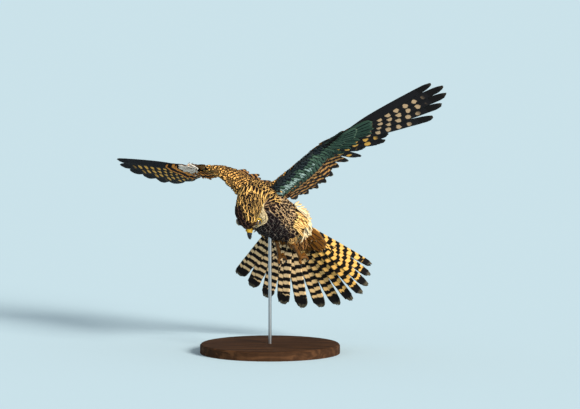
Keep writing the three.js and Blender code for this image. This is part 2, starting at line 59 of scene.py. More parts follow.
# %% Camera
VIEW_DOWN = math.radians(5)
VIEW_DISTANCE = 6.0
VIEW_WIDTH = 0.870
LOOK_AT = Vector((0.0300, 0.0218, 0.2213))
SENSOR_WIDTH = 36.0
FARTHEST_SEEN = 200

lens = bpy.data.cameras.new("camera")
lens.sensor_width = SENSOR_WIDTH
lens.lens = SENSOR_WIDTH * VIEW_DISTANCE / VIEW_WIDTH
lens.clip_end = FARTHEST_SEEN
camera = bpy.data.objects.new("camera", lens)
looking = Vector((0, math.cos(VIEW_DOWN), -math.sin(VIEW_DOWN)))
camera.location = LOOK_AT - VIEW_DISTANCE * looking
camera.rotation_euler = (math.pi / 2 - VIEW_DOWN, 0, 0)
bpy.context.scene.collection.objects.link(camera)
bpy.context.scene.camera = camera
print("lens", round(lens.lens), "mm")

# %% Light
SKY = (0.66, 0.70, 0.72)
SKY_STRENGTH = 0.60
SUN_TOWARDS = Vector((0.58, -0.72, 0.38))
SUN_STRENGTH = 5.0
SUN_SIZE = math.radians(18)
SUN_COLOUR = (1.0, 0.95, 0.86)

world = bpy.data.worlds.new("pale sky")
world.use_nodes = True
background = world.node_tree.nodes["Background"]
background.inputs["Color"].default_value = (*SKY, 1)
background.inputs["Strength"].default_value = SKY_STRENGTH
bpy.context.scene.world = world
sun_data = bpy.data.lights.new("sun", "SUN")
sun_data.energy = SUN_STRENGTH
sun_data.color = SUN_COLOUR
sun_data.angle = SUN_SIZE
sun = bpy.data.objects.new("sun", sun_data)
sun.rotation_euler = SUN_TOWARDS.to_track_quat("Z", "Y").to_euler()
bpy.context.scene.collection.objects.link(sun)
bpy.context.scene.view_settings.view_transform = "Standard"
print("sun", SUN_STRENGTH, "sky", SKY_STRENGTH)

# %% [markdown]
# ## Colours and materials
# A feather's colour comes from two things. Every feather has its own ground colour and mark
# colour, which are kept on its points. The pattern of bars, spots and streaks follows the
# feather's own map, across and along the vane, so that it stays sharp on a few faces. A painted
# image could do it too, but it would blur on thousands of small feathers. Writing such a pattern
# as sums is shorter than wiring nodes by hand, so a small class turns sums into Math nodes.

# %% Sums as nodes
class Field:
    """A value in a material, which is added, multiplied and compared as a number is."""

    def __init__(self, tree, socket):
        self.tree, self.socket = tree, socket

    def node(self, kind, *inputs, **settings):
        made = self.tree.nodes.new(kind)
        for key, value in settings.items():
            setattr(made, key, value)
        for slot, value in zip(made.inputs, inputs):
            if isinstance(value, Field):
                self.tree.links.new(value.socket, slot)
            elif value is not None:
                slot.default_value = value
        return made

    def math(self, operation, *others):
        made = self.node("ShaderNodeMath", self, *others, operation=operation)
        return Field(self.tree, made.outputs[0])

    def __add__(self, other):
        return self.math("ADD", other)

    def __sub__(self, other):
        return self.math("SUBTRACT", other)

    def __mul__(self, other):
        return self.math("MULTIPLY", other)

    def __truediv__(self, other):
        return self.math("DIVIDE", other)

    def __abs__(self):
        return self.math("ABSOLUTE")

    def ramp(self, low, high):
        """0 at low and 1 at high, smooth between; low may be the larger."""
        made = self.node("ShaderNodeMapRange", self, low, high, interpolation_type="SMOOTHSTEP")
        return Field(self.tree, made.outputs[0])

    def mix(self, first, second):
        """The first colour where this is 0 and the second where it is 1."""
        made = self.tree.nodes.new("ShaderNodeMix")
        made.data_type = "RGBA"
        self.tree.links.new(self.socket, made.inputs[0])
        for slot, value in ((made.inputs[6], first), (made.inputs[7], second)):
            if isinstance(value, Field):
                self.tree.links.new(value.socket, slot)
            else:
                slot.default_value = (*value, 1)
        return Field(self.tree, made.outputs[2])

# %% [markdown]
# Every finish starts from the same few steps: a material with its constant values, one or two
# nodes that say where on the piece a point is, a noise, and the links to colour and bump.

# %% Steps that every material shares
def colour(red, green, blue):
    """A colour as the eye names it, 0 to 255, as the linear values that Blender mixes."""
    return tuple(((c / 255 + 0.055) / 1.055) ** 2.4 for c in (red, green, blue))


def new_material(name, roughness, **settings):
    """A material with its shader, and the values that are the same all over it."""
    material = bpy.data.materials.new(name)
    material.use_nodes = True
    shader = material.node_tree.nodes["Principled BSDF"]
    shader.inputs["Roughness"].default_value = roughness
    for key, value in settings.items():
        shader.inputs[key.replace("_", " ")].default_value = value
    return material, shader


def output_of(material, kind, output, **settings):
    """One output of a new node that needs no input, such as an attribute or a map."""
    made = material.node_tree.nodes.new(kind)
    for key, value in settings.items():
        setattr(made, key, value)
    return Field(material.node_tree, made.outputs[output])


def parts_of(field, kind="ShaderNodeSeparateXYZ"):
    """The three numbers of a place or of a colour."""
    made = field.node(kind, field)
    return [Field(field.tree, output) for output in made.outputs]


def noise_of(place, scale, detail=2.0):
    """A soft random pattern, about 0 to 1, with so many lumps to the metre."""
    made = place.node("ShaderNodeTexNoise", place)
    made.inputs["Scale"].default_value = scale
    made.inputs["Detail"].default_value = detail
    return Field(place.tree, made.outputs[0])


def finish_with(shader, tone, height, distance=0.0002, strength=0.5):
    """Links the colour, and the height as bump, to the shader."""
    tree = shader.id_data
    tree.links.new(tone.socket, shader.inputs["Base Color"])
    bump = tree.nodes.new("ShaderNodeBump")
    bump.inputs["Distance"].default_value = distance
    bump.inputs["Strength"].default_value = strength
    tree.links.new(height.socket, bump.inputs["Height"])
    tree.links.new(bump.outputs[0], shader.inputs["Normal"])

# %% [markdown]
# ## The feather's pattern
# The feather material reads three groups of numbers from each feather. The ground colour
# carries where the dark end band starts, the mark colour carries how pale the fringe is, and
# the style holds the number of bars, their width, whether they are spots on the inner web, and
# the width of a streak along the shaft. Along the vane v runs from 0 at the quill to 1 at the
# tip, and u runs across it, so the shaft is at u = 0.5. Each mark is a sum that is near 1 inside
# the mark and near 0 outside it.

# %% Bars, spots and streaks
WANDER_SCALE, BAR_WANDER, SPOT_WANDER, STREAK_WANDER = 260, 0.3, 0.12, 0.25
SPOT_AT, SPOT_WIDTH, SPOT_LENGTH = 0.72, 0.20, 0.26


def any_of(amount):
    """0 where a mark has no width at all, and 1 where it has some."""
    return (amount * 20).math("MINIMUM", 1.0)


def bars_or_spots(u, v, aside, wander, style, chevron, stagger):
    """Bars right across the vane, or ovals on its inner web, as the feather's style says."""
    bars, bar_width, spotted = style
    turn = v * bars + aside * chevron + wander * BAR_WANDER + u.ramp(0.49, 0.51) * stagger
    from_bar = abs(turn.math("FRACT") - 0.5)
    barred = from_bar.ramp(bar_width * 0.5 + 0.07, bar_width * 0.5 - 0.05) * any_of(bar_width)
    across = (u - SPOT_AT + wander * SPOT_WANDER) / SPOT_WIDTH
    lengthways = from_bar / SPOT_LENGTH
    oval = (across * across + lengthways * lengthways).ramp(1.15, 0.6)
    oval = oval * v.ramp(0.82, 0.72) * v.ramp(0.26, 0.36)
    return barred + spotted * (oval - barred)


def shaft_streak(v, aside, wander, streak):
    """A drop along the shaft that is widest near the tip."""
    edge = streak * (v * 0.7 + 0.3) + wander * STREAK_WANDER
    drop = aside.ramp(edge + 0.1, edge - 0.1) * v.ramp(0.12, 0.3) * v.ramp(0.99, 0.86)
    return drop * any_of(streak)

# %% [markdown]
# Over its marks a feather has a dark end band, a pale fringe, a dark shaft and, on stiff
# feathers, a dark outline of painted shade where it meets its neighbour. Fine ridges, the barbs,
# run slantwise off the shaft. They darken the colour a little and are also the bump.

# %% The feather materials
BAND, FRINGE = colour(14, 11, 16), colour(240, 222, 182)
RUSTY_SPOT, UNDERSIDE = colour(150, 88, 44), colour(150, 146, 122)
BARBS, BARB_SLANT, BARB_DARKNESS, FULL_TURN = 110, 9, 0.12, 6.283
SHAFT_DARKNESS, SIDE_FRINGE, BAND_EDGE = 0.35, 0.5, 0.015


def of_feather(material, attribute):
    """A colour that each feather carries, and the number beside it."""
    return [output_of(material, "ShaderNodeAttribute", output, attribute_name=attribute)
            for output in ("Color", "Alpha")]


def feather_material(name, roughness, paler_below, chevron, stagger, painted_shade_outline):
    """Chevron bends the bars to the tip, and stagger shifts them from one web to the other."""
    material, shader = new_material(name, roughness, Specular_IOR_Level=0.03)
    u, v, _ = parts_of(output_of(material, "ShaderNodeUVMap", "UV", uv_map="Vane"))
    place = output_of(material, "ShaderNodeTexCoord", "Object")
    ground, band_from = of_feather(material, "ground")
    mark, fringe = of_feather(material, "mark")
    style, streak = of_feather(material, "style")
    style = parts_of(style, "ShaderNodeSeparateColor")
    below = output_of(material, "ShaderNodeAttribute", "Fac", attribute_name="below")
    wander = noise_of(place, WANDER_SCALE) - 0.5
    aside = abs(u - 0.5) * 2
    marked = bars_or_spots(u, v, aside, wander, style, chevron, stagger)
    marked = marked.math("MAXIMUM", shaft_streak(v, aside, wander, streak))
    mark = (style[2] * (below * -0.85 + 0.85)).mix(mark, RUSTY_SPOT)
    tone = marked.mix(ground, mark)
    tone = v.ramp(band_from, band_from + BAND_EDGE).mix(tone, BAND)
    rim = v.ramp(0.955, 0.985).math("MAXIMUM", aside.ramp(0.82, 0.98) * SIDE_FRINGE) * fringe
    tone = rim.mix(tone, FRINGE)
    tone = (aside.ramp(0.10, 0.03) * SHAFT_DARKNESS).mix(tone, BAND)
    # A dark line along the stiff feathers' sides is painted shade where they meet their
    # neighbours.
    tone = (aside.ramp(0.90, 0.99) * v.ramp(0.9, 0.8) * painted_shade_outline).mix(tone, BAND)
    barbs = ((v * BARBS - aside * BARB_SLANT) * FULL_TURN).math("SINE") * 0.5 + 0.5
    tone = (barbs * BARB_DARKNESS).mix(tone, BAND)
    tone = (below * paler_below).mix(tone, UNDERSIDE)
    finish_with(shader, tone, barbs, distance=0.00012, strength=0.4)
    return material


coat_material = feather_material("coat feathers", roughness=0.72, paler_below=0.0,
                                 chevron=0.35, stagger=0.0, painted_shade_outline=0.0)
flight_material = feather_material("flight feathers", roughness=0.6, paler_below=0.02,
                                   chevron=0.12, stagger=0.2, painted_shade_outline=0.7)
print("feather materials", coat_material.name, "and", flight_material.name)

# %% [markdown]
# ## The bird's frame
# Sizes are in millimetres round the root of the tail, as a taxidermist would measure them. The
# whole bird is then leant back a little and set at its height over the base, by one matrix that
# every piece's mesh gets at its end. Many points are worked out at once, as arrays, so the few
# helpers here take arrays of vectors.

# %% Vectors and curves
def unit(vectors):
    vectors = np.asarray(vectors, float)
    return vectors / np.linalg.norm(vectors, axis=-1, keepdims=True)


def dots(first, second):
    return np.sum(first * second, axis=-1)


def sideways(vectors, away_from):
    """The part of each vector that is square to another, as a unit vector."""
    return unit(vectors - dots(vectors, away_from)[..., None] * away_from)


def through(values, t):
    """The smooth curve through evenly spaced values, at t from 0 to 1."""
    values, t = np.asarray(values, float), np.clip(np.asarray(t, float), 0, 1)
    spans = len(values) - 1
    i = np.minimum((t * spans).astype(int), spans - 1)
    s = (t * spans - i).reshape(t.shape + (1,) * (values.ndim - 1))
    padded = np.concatenate([2 * values[:1] - values[1:2], values,
                             2 * values[-1:] - values[-2:-1]])
    a, b, c, d = (padded[i + k] for k in range(4))
    start, end = (c - a) / 2, (d - b) / 2
    return ((2 * (b - c) + start + end) * s**3 + (3 * (c - b) - 2 * start - end) * s**2
            + start * s + b)

# %% [markdown]
# The trunk and the head each have a frame of their own: forward, left and up. The trunk is
# yawed to the viewer's left, pitched up and rolled, and the head hangs down from it, so that
# the bird looks at the ground below.

# %% The bird's frames
LEAN = math.radians(5)
TAIL_ROOT_AT = Vector((30, 50, 200))
MM = 0.001
STOOD = Matrix.Scale(MM, 4) @ Matrix.Translation(TAIL_ROOT_AT) @ Matrix.Rotation(-LEAN, 4, "X")
BODY_YAW, BODY_PITCH, BODY_ROLL = (math.radians(n) for n in (25, 20, 10))
TRUNK_LENGTH = 108
TAIL_ROOT = np.zeros(3)
HEAD_CENTRE = np.array([-60.0, -137.0, 3.0])
BILL_WARDS, CROWN_WARDS = (-0.02, -0.1, -0.995), (-0.3, -0.95, 0.1)


def frame_of(forward, up):
    """The rows are forward, left and up."""
    forward = unit(forward)
    left = unit(np.cross(up, forward))
    return np.array([forward, left, np.cross(forward, left)])


def along(axes, origin, forward, left, up):
    """A point from sizes along a frame's three axes."""
    return origin + np.array([forward, left, up]) @ axes


breast_on = np.array([-math.sin(BODY_YAW) * math.cos(BODY_PITCH),
                      -math.cos(BODY_YAW) * math.cos(BODY_PITCH), math.sin(BODY_PITCH)])
level_up = Vector(frame_of(breast_on, (0, 0, 1))[2])
BODY = frame_of(breast_on, np.array(Matrix.Rotation(-BODY_ROLL, 3, Vector(breast_on)) @ level_up))
HEAD = frame_of(BILL_WARDS, CROWN_WARDS)
print("trunk points", BODY[0].round(2), "bill points", HEAD[0].round(2))

# %% [markdown]
# ## Where the flight feathers grow
# A falcon has ten primaries on the hand, ten secondaries on the forearm and a few tertials near
# the body. They are counted inwards from the wing tip. Their directions follow one smooth curve,
# and so does everything that lies over them, so this layout comes before the skin. Nearly all
# of what makes the pose is in these few vectors and lengths.

# %% Sizes of the wings
SHOULDER_OUT, SHOULDER_UP = 18, 2
HAND_LENGTH, FIRST_PRIMARY_AT, PRIMARY_SPACING = 58, 6, 5.55
ELBOW_ALONG, ELBOW_BACK, ARM_POINTS_AS, EDGE_AHEAD = 0.45, 30, 0.75, 7
PRIMARIES, SECONDARIES, TERTIALS = 10, 10, 3
REMIGES = PRIMARIES + SECONDARIES + TERTIALS
PRIMARY_WIDTHS = [17, 21, 22, 24, 26]
SECONDARY_WIDTH = 25
TERTIAL_LENGTHS = [90, 78, 66]
OUTER_WEB = 0.34

WINGS = {
    "left": {
        "side": 1,
        "wrist": (41.5, -112, 98),
        "hand": (0.62, -0.64, 0.416),
        "directions": [(0.665, -0.615, 0.424), (0.853, -0.429, 0.298), (0.955, 0.08, 0.06),
                       (0.38, 0.89, -0.26), (0.3, 0.9, -0.33), (0.2, 0.92, -0.32),
                       (0.06, 0.95, -0.3), (0, 0.96, -0.28)],
        "primaries": [176, 191, 190, 176, 156, 87, 80, 68, 76, 88],
        "secondaries": [86, 88, 94],
        "fold": (0, 0, 0),
    },
    "right": {
        "side": -1,
        "wrist": (-122, -14, 69),
        "hand": (-0.6, 0.79, 0.12),
        "directions": [(-0.667, 0.739, 0.098), (-0.502, 0.864, -0.036), (-0.263, 0.956, -0.131),
                       (0.3, 0.94, 0.02), (0.45, 0.89, 0.03), (0.55, 0.83, -0.06),
                       (0.62, 0.78, -0.06), (0.5, 0.85, -0.14)],
        "primaries": [183, 198, 195, 183, 166, 150, 122, 112, 104, 98],
        "secondaries": [95, 104, 104],
        "fold": (-3, -5, -16),
    },
}
print("flight feathers on a wing", REMIGES)

# %% [markdown]
# The primaries grow along the hand, the secondaries from the wrist to the elbow and the
# tertials from the elbow to the shoulder. A feather's vane lies across the way to its
# neighbours, so the vanes turn with the wing and no two of them cross.

# %% Lay out a wing
def wing_layout(wing):
    """The roots, directions, lengths and widths of one wing's flight feathers, and its joints."""
    wrist, hand = np.array(wing["wrist"], float), unit(wing["hand"])
    directions = unit(wing["directions"])
    shoulder = along(BODY, TAIL_ROOT, TRUNK_LENGTH, wing["side"] * SHOULDER_OUT, SHOULDER_UP)
    arm_back = unit(through(directions, ARM_POINTS_AS)) * ELBOW_BACK
    elbow = shoulder + (wrist - shoulder) * ELBOW_ALONG + arm_back
    k = np.arange(REMIGES)
    direction = unit(through(directions, k / (REMIGES - 1)))
    primary = k < PRIMARIES
    root = wrist + np.outer(FIRST_PRIMARY_AT + PRIMARY_SPACING * (PRIMARIES - 1 - k), hand)
    on_forearm = (k - PRIMARIES + 0.3) / SECONDARIES
    root = np.where(primary[:, None], root, wrist + np.outer(on_forearm, elbow - wrist))
    on_arm = (k - PRIMARIES - SECONDARIES + 0.5) / (TERTIALS + 1)
    root = np.where((k >= PRIMARIES + SECONDARIES)[:, None],
                    elbow + np.outer(on_arm, shoulder - elbow), root)
    secondary_lengths = through(wing["secondaries"], np.linspace(0, 1, SECONDARIES))
    length = np.concatenate([wing["primaries"], secondary_lengths, TERTIAL_LENGTHS])
    width = np.where(primary, through(PRIMARY_WIDTHS, k / (PRIMARIES - 1)), SECONDARY_WIDTH)
    middle = root + direction * length[:, None] / 2
    inwards = middle[np.minimum(k + 1, REMIGES - 1)] - middle[np.maximum(k - 1, 0)]
    across = sideways(inwards, direction)
    return {"shoulder": shoulder, "elbow": elbow, "wrist": wrist, "hand": hand,
            "directions": directions, "side": wing["side"], "fold": np.array(wing["fold"], float),
            "root": root, "direction": direction, "across": across,
            "upper": wing["side"] * np.cross(direction, across), "length": length, "width": width}


wings = {name: wing_layout(wing) for name, wing in WINGS.items()}
print("wing joints", {name: wing["elbow"].round() for name, wing in wings.items()})

# %% [markdown]
# The tail's twelve feathers grow close together and fan out. The outer ones are the shortest.

# %% Lay out the tail
TAIL_FEATHERS = 12
TAIL_DIRECTIONS = unit([(-0.51, 0.64, -0.574), (-0.0975, 0.6, -0.794), (0.3575, 0.476, -0.803),
                        (0.684, 0.25, -0.684), (0.853, 0.25, -0.457)])
TAIL_LENGTHS = [148, 166, 171, 161, 139]
TAIL_ROOT_SPREAD, TAIL_ROOT_DROP = 11, 4


def tail_layout():
    """The roots, directions and lengths of the tail's feathers, and which way is up on each."""
    order = np.arange(TAIL_FEATHERS)
    t = order / (TAIL_FEATHERS - 1)
    direction = unit(through(TAIL_DIRECTIONS, t))
    root = np.array([along(BODY, TAIL_ROOT, 0, TAIL_ROOT_SPREAD * (2 * n - 1), -TAIL_ROOT_DROP)
                     for n in t])
    aside = unit(direction[np.minimum(order + 1, TAIL_FEATHERS - 1)]
                 - direction[np.maximum(order - 1, 0)])
    across = sideways(aside + unit(TAIL_DIRECTIONS[4] - TAIL_DIRECTIONS[0]), direction)
    return {"t": t, "root": root, "direction": direction, "across": across,
            "upper": -np.cross(direction, across), "length": through(TAIL_LENGTHS, t)}


tail = tail_layout()
print("tail feathers", TAIL_FEATHERS, "lengths", tail["length"].round())

# %% [markdown]
# ## The skin
# Under the feathers a bird is a few round forms that run into each other: trunk, neck, head,
# wings, thighs and the stump of the tail. Each is a row of oval rings, bridged. A voxel remesh
# then melts them into one skin with no seam. Joining the forms by a boolean would leave a crease
# at each join. Every size is the CAD solid's less the depth of the coat, so that the feathers
# end where the solid does.

# %% Sizes of the body
# distance ahead, how far below the frame's own line, half width, half depth
TRUNK_ROWS = [[-18, 8, 12, 6], [-12, 12, 24, 16], [6, 14, 34, 27], [28, 16, 35.5, 32],
              [55, 17, 33, 34], [82, 15, 33, 34], [104, 12, 30, 30], [120, 9, 21, 20],
              [126, 8, 9, 8]]
# the same for the head, but how far above the line
HEAD_ROWS = [[-13, 0.5, 21, 21], [-6, 0.5, 22, 21.5], [2, 0.5, 21.5, 20], [9, 0, 18.8, 17.5],
             [14, -1, 14.8, 14], [18, -2, 10, 10.5], [20.5, -2.6, 6.6, 7.4]]
# distance behind the tail's root, half width, half depth
RUMP_ROWS = [[-4, 15, 10], [14, 17, 10], [36, 19, 6.5], [58, 17, 2.5]]
NECK_HALF_WIDTH = [29, 26, 22.5, 21, 21.5]
NECK_HALF_DEPTH = [26, 24.6, 23, 22, 21.5]
THROAT_OF_TRUNK, THROAT_OF_HEAD = (TRUNK_LENGTH, 0, -37), (-10, 0, -24)
NECK_FROM_THROAT, NECK_TO_HEAD = 27, 24.5
HIP, THIGH_RADII = (26, 15, -22), [24, 20, 9, 4]
# side, heel, the way the bare shank points
LEGS = {"left": (1, (6, -34, -42), (0.25, 0.72, -0.46)),
        "right": (-1, (-20, -28, -38), (0.12, 0.72, -0.56))}
TRUNK_COAT, NECK_COAT, HEAD_COAT, THIGH_COAT, WING_COAT = 5.0, 4.5, 2.6, 4.5, 2.2
print("coat depths", TRUNK_COAT, NECK_COAT, HEAD_COAT, THIGH_COAT, WING_COAT)

# %% [markdown]
# A form is a dictionary of arrays with one row for each ring. Besides its centre, axes and
# sizes, each ring knows the lie: the way that feathers point there.

# %% Rings of trunk, head, neck and thighs
LEAST_HALF_SIZE = 1.2


def rings_of(centres, across, upward, sizes, lie, coat):
    """One form's rings: centres, the two axes of each oval, half sizes less the coat, the lie."""
    sizes = np.maximum(np.asarray(sizes, float) - coat, LEAST_HALF_SIZE)
    count = len(centres)
    spread = [np.broadcast_to(np.asarray(a, float), (count, 3)) for a in (across, upward, lie)]
    return {"centre": np.asarray(centres, float), "across": unit(spread[0]),
            "upward": unit(spread[1]), "size": sizes, "lie": unit(spread[2])}


def rows_along(axes, origin, rows, count, coat, rise_sign=1):
    """Rings from a table of distance ahead, rise, half width and half depth in a frame."""
    fine = through(rows, np.linspace(0, 1, count))
    centres = [along(axes, origin, ahead, 0, rise_sign * rise) for ahead, rise, _, _ in fine]
    return rings_of(centres, axes[1], axes[2], fine[:, 2:], -axes[0], coat)


def neck_rings(count=7):
    """The neck bends about a hinge at the throat, from the trunk's frame to the head's."""
    start = along(BODY, TAIL_ROOT, *THROAT_OF_TRUNK)
    end = along(HEAD, HEAD_CENTRE, *THROAT_OF_HEAD)
    turns = [Matrix(axes).transposed().to_quaternion() for axes in (BODY, HEAD)]
    t = np.linspace(0, 1, count)
    frames = np.array([np.array(turns[0].slerp(turns[1], n).to_matrix()).T for n in t])
    reach = NECK_FROM_THROAT + (NECK_TO_HEAD - NECK_FROM_THROAT) * t
    centres = start + np.outer(t, end - start) + frames[:, 2] * reach[:, None]
    sizes = np.stack([through(NECK_HALF_WIDTH, t), through(NECK_HALF_DEPTH, t)], axis=1)
    coat = NECK_COAT + (HEAD_COAT - NECK_COAT) * t[:, None]
    return rings_of(centres, frames[:, 1], frames[:, 2], sizes, -frames[:, 0], coat)


def thigh_rings(leg, count=6):
    """The thigh runs from the hip over the knee, which is hidden in the coat, to the heel."""
    side, heel, _ = leg
    hip = along(BODY, TAIL_ROOT, HIP[0], side * HIP[1], HIP[2])
    knee = (hip + np.array(heel)) / 2 - 2 * BODY[2]
    t = np.linspace(0, 1, count)
    centres = through([hip, knee, heel], t)
    down = unit(np.gradient(centres, axis=0))
    across = sideways(np.broadcast_to(BODY[1], down.shape), down)
    sizes = through(THIGH_RADII, t)[:, None] * [1, 1]
    return rings_of(centres, across, np.cross(down, across), sizes, down, THIGH_COAT)

# %% [markdown]
# A wing's flesh is a flat form from the shoulder over the wrist to the end of the hand. A fold
# of skin is stretched before the arm, from the shoulder to the wrist, and makes the straight
# leading edge that a wing has.

# %% Rings of the wings
ARM_CHORDS, ARM_DEPTHS = [62, 60, 58, 56, 48], [26, 24, 22, 20, 17]
HAND_CHORDS, HAND_DEPTHS = [47, 36, 14], [16, 9, 4]
ARM_RINGS, HAND_RINGS = 9, 5
FOLD_SHARES = [1, 0.95, 0.62, 0.18, 0, 0]
ARM_RISE, DEPTH_TO_HALF, LIE_OUTWARDS = 3.5, 2.1, 0.22


def arm_rings(wing):
    """The wing's flesh. The fold of skin moves its leading edge near the shoulder."""
    ends = wing["wrist"] + wing["hand"] * HAND_LENGTH
    arm, hand = np.linspace(0, 0.96, ARM_RINGS), np.linspace(0.12, 1, HAND_RINGS)
    line = np.concatenate([wing["shoulder"] + np.outer(arm, wing["wrist"] - wing["shoulder"]),
                           wing["wrist"] + np.outer(hand, ends - wing["wrist"])])
    feather = np.concatenate([22 - 12 * arm, 9.5 - 8 * hand]) / (REMIGES - 1)
    span = unit(np.gradient(line, axis=0))
    back = sideways(through(wing["directions"], feather), span)
    chord = np.concatenate([through(ARM_CHORDS, arm), through(HAND_CHORDS, hand)])
    thick = np.concatenate([through(ARM_DEPTHS, arm), through(HAND_DEPTHS, hand)])
    rear = line + back * (chord - EDGE_AHEAD)[:, None]
    folded = np.concatenate([through(FOLD_SHARES, arm), np.zeros(len(hand))])
    edge = line - back * EDGE_AHEAD + np.outer(folded, wing["fold"])
    back = sideways(rear - edge, span)
    upward = np.cross(span, back) * wing["side"]
    centres = (edge + rear) / 2 + upward * ARM_RISE
    half_chord = np.linalg.norm(rear - edge, axis=1) / 2
    sizes = np.stack([half_chord, thick / DEPTH_TO_HALF], axis=1)
    return rings_of(centres, back, upward, sizes, back + LIE_OUTWARDS * span, WING_COAT)

# %% [markdown]
# Eight forms make the bird. The order matters only in that each keeps its number from here on.

# %% All the forms
RUMP_DROP, RUMP_COAT = 5, 2.2

rump_side = sideways(TAIL_DIRECTIONS[4] - TAIL_DIRECTIONS[0], TAIL_DIRECTIONS[2])
rump_up = -np.cross(TAIL_DIRECTIONS[2], rump_side)
rump_rows = through(RUMP_ROWS, np.linspace(0, 1, 7))
rump_line = (along(BODY, TAIL_ROOT, 0, 0, -RUMP_DROP)
             + np.outer(rump_rows[:, 0], TAIL_DIRECTIONS[2]))
FORMS = {
    "trunk": rows_along(BODY, TAIL_ROOT, TRUNK_ROWS, 13, TRUNK_COAT, rise_sign=-1),
    "neck": neck_rings(),
    "head": rows_along(HEAD, HEAD_CENTRE, HEAD_ROWS, 9, HEAD_COAT),
    "rump": rings_of(rump_line, rump_side, rump_up, rump_rows[:, 1:], TAIL_DIRECTIONS[2],
                     RUMP_COAT),
    **{f"thigh_{name}": thigh_rings(leg) for name, leg in LEGS.items()},
    **{f"wing_{name}": arm_rings(wing) for name, wing in wings.items()},
}
FORM_NAMES = list(FORMS)
print("forms", FORM_NAMES)

# %% [markdown]
# A ring is a circle of unit size that a matrix stretches to its oval. Bridging neighbouring
# rings gives the tube, and the two end rings are filled.

# %% Loft a form
def oval(bm, centre, first, second, points):
    """A ring of edges round an oval with these two half axes."""
    first, second = Vector(first), Vector(second)
    turned = Matrix((first, second, first.cross(second).normalized())).transposed().to_4x4()
    placed = Matrix.Translation(Vector(centre)) @ turned
    made = bmesh.ops.create_circle(bm, segments=points, radius=1, matrix=placed)
    return list({edge for vert in made["verts"] for edge in vert.link_edges})


def bridge_rings(bm, rings):
    """Walls between neighbouring rings, and a face over each end."""
    for first, second in zip(rings, rings[1:]):
        bmesh.ops.bridge_loops(bm, edges=first + second)
    for end in (rings[0], rings[-1]):
        bmesh.ops.edgeloop_fill(bm, edges=end)


def loft_form(bm, form, points=28):
    """A closed tube through all of a form's rings."""
    rings = [oval(bm, centre, across * size[0], upward * size[1], points)
             for centre, across, upward, size in
             zip(form["centre"], form["across"], form["upward"], form["size"])]
    bridge_rings(bm, rings)

# %% [markdown]
# The overlapping tubes become one skin by a voxel remesh, which keeps only the outside of all of
# them together, and a few rounds of smoothing melt the joins.

# %% From forms to one skin
VOXEL, MELT_FACTOR, MELT_ROUNDS = 1.3, 0.5, 6


def object_from(bm, name, matrix=None, smooth=True):
    """A bmesh as an object at the origin, with its place in its mesh."""
    if matrix is not None:
        bm.transform(matrix)
    mesh = bpy.data.meshes.new(name)
    bm.to_mesh(mesh)
    bm.free()
    if smooth:
        mesh.shade_smooth()
    made = bpy.data.objects.new(name, mesh)
    bpy.context.scene.collection.objects.link(made)
    return made


def apply_modifiers(piece):
    """The piece's mesh as its modifiers leave it."""
    bpy.context.view_layer.update()
    seen = piece.evaluated_get(bpy.context.evaluated_depsgraph_get())
    mesh = bpy.data.meshes.new_from_object(seen)
    piece.modifiers.clear()
    old, piece.data = piece.data, mesh
    bpy.data.meshes.remove(old)
    mesh.name = piece.name
    return mesh


def melt_together(piece, voxel, rounds):
    """Remeshes a piece of overlapping forms into one skin, and smooths it."""
    remesh = piece.modifiers.new("one skin", "REMESH")
    remesh.mode = "VOXEL"
    remesh.voxel_size = voxel
    melt = piece.modifiers.new("melt", "SMOOTH")
    melt.factor = MELT_FACTOR
    melt.iterations = rounds
    return apply_modifiers(piece)


bm = bmesh.new()
for form in FORMS.values():
    loft_form(bm, form)
bmesh.ops.recalc_face_normals(bm, faces=bm.faces)
skin = object_from(bm, "skin")
skin_mesh = melt_together(skin, VOXEL, MELT_ROUNDS)
print("skin faces", len(skin_mesh.polygons))

# %% [markdown]
# A falcon's head isn't an egg. A ridge of bone over each eye makes the stern brow, the cheek is
# full below it, and the eye sits in a hollow that runs forward to the bill. Each of these is one
# soft push on the skin, out or in, that fades with distance. As the head turns, the cheek on the
# side it turns from fluffs out further, so one push is on the left only.

# %% The head's forms
BOTH, LEFT = (1, -1), (1,)
# ahead, out, up, reach and push in millimetres, in the head's frame, and the sides it is made on
HEAD_PUSHES = [(10, 14.0, 8.0, 5.0, 1.2, BOTH), (1, 13.5, -6.5, 7.0, 0.8, BOTH),
               (15, 8.5, 0.5, 4.0, -1.2, BOTH), (9.5, 16, 2.0, 5.5, -1.5, BOTH),
               (3, 14, -8, 9.0, 5.0, LEFT), (4.5, 17, -5, 7.5, 5.5, LEFT)]


def vertices_of(mesh, attribute="co"):
    """The place or the normal of every vertex, as an array."""
    values = np.zeros(len(mesh.vertices) * 3, np.float32)
    mesh.vertices.foreach_get(attribute, values)
    return values.reshape(-1, 3).astype(float)


def sculpt(mesh, axes, origin, pushes):
    """Moves the skin along its normals near each point."""
    points, normals = vertices_of(mesh), vertices_of(mesh, "normal")
    for ahead, out, rise, reach, push, sides in pushes:
        for side in sides:
            centre = along(axes, origin, ahead, side * out, rise)
            near = np.exp(-(np.linalg.norm(points - centre, axis=1) / reach) ** 2)
            points = points + normals * (near * push)[:, None]
    mesh.vertices.foreach_set("co", points.astype(np.float32).ravel())
    mesh.update()


sculpt(skin_mesh, HEAD, HEAD_CENTRE, HEAD_PUSHES)
print("pushes on the head", len(HEAD_PUSHES))

# %% [markdown]
# Everything that grows on the skin asks it the same things: which form it is on, how far along
# and how far round, and which way the coat lies there. One function answers for many points at
# once. Where two forms meet, their lies are mixed, so the coat flows over the join.

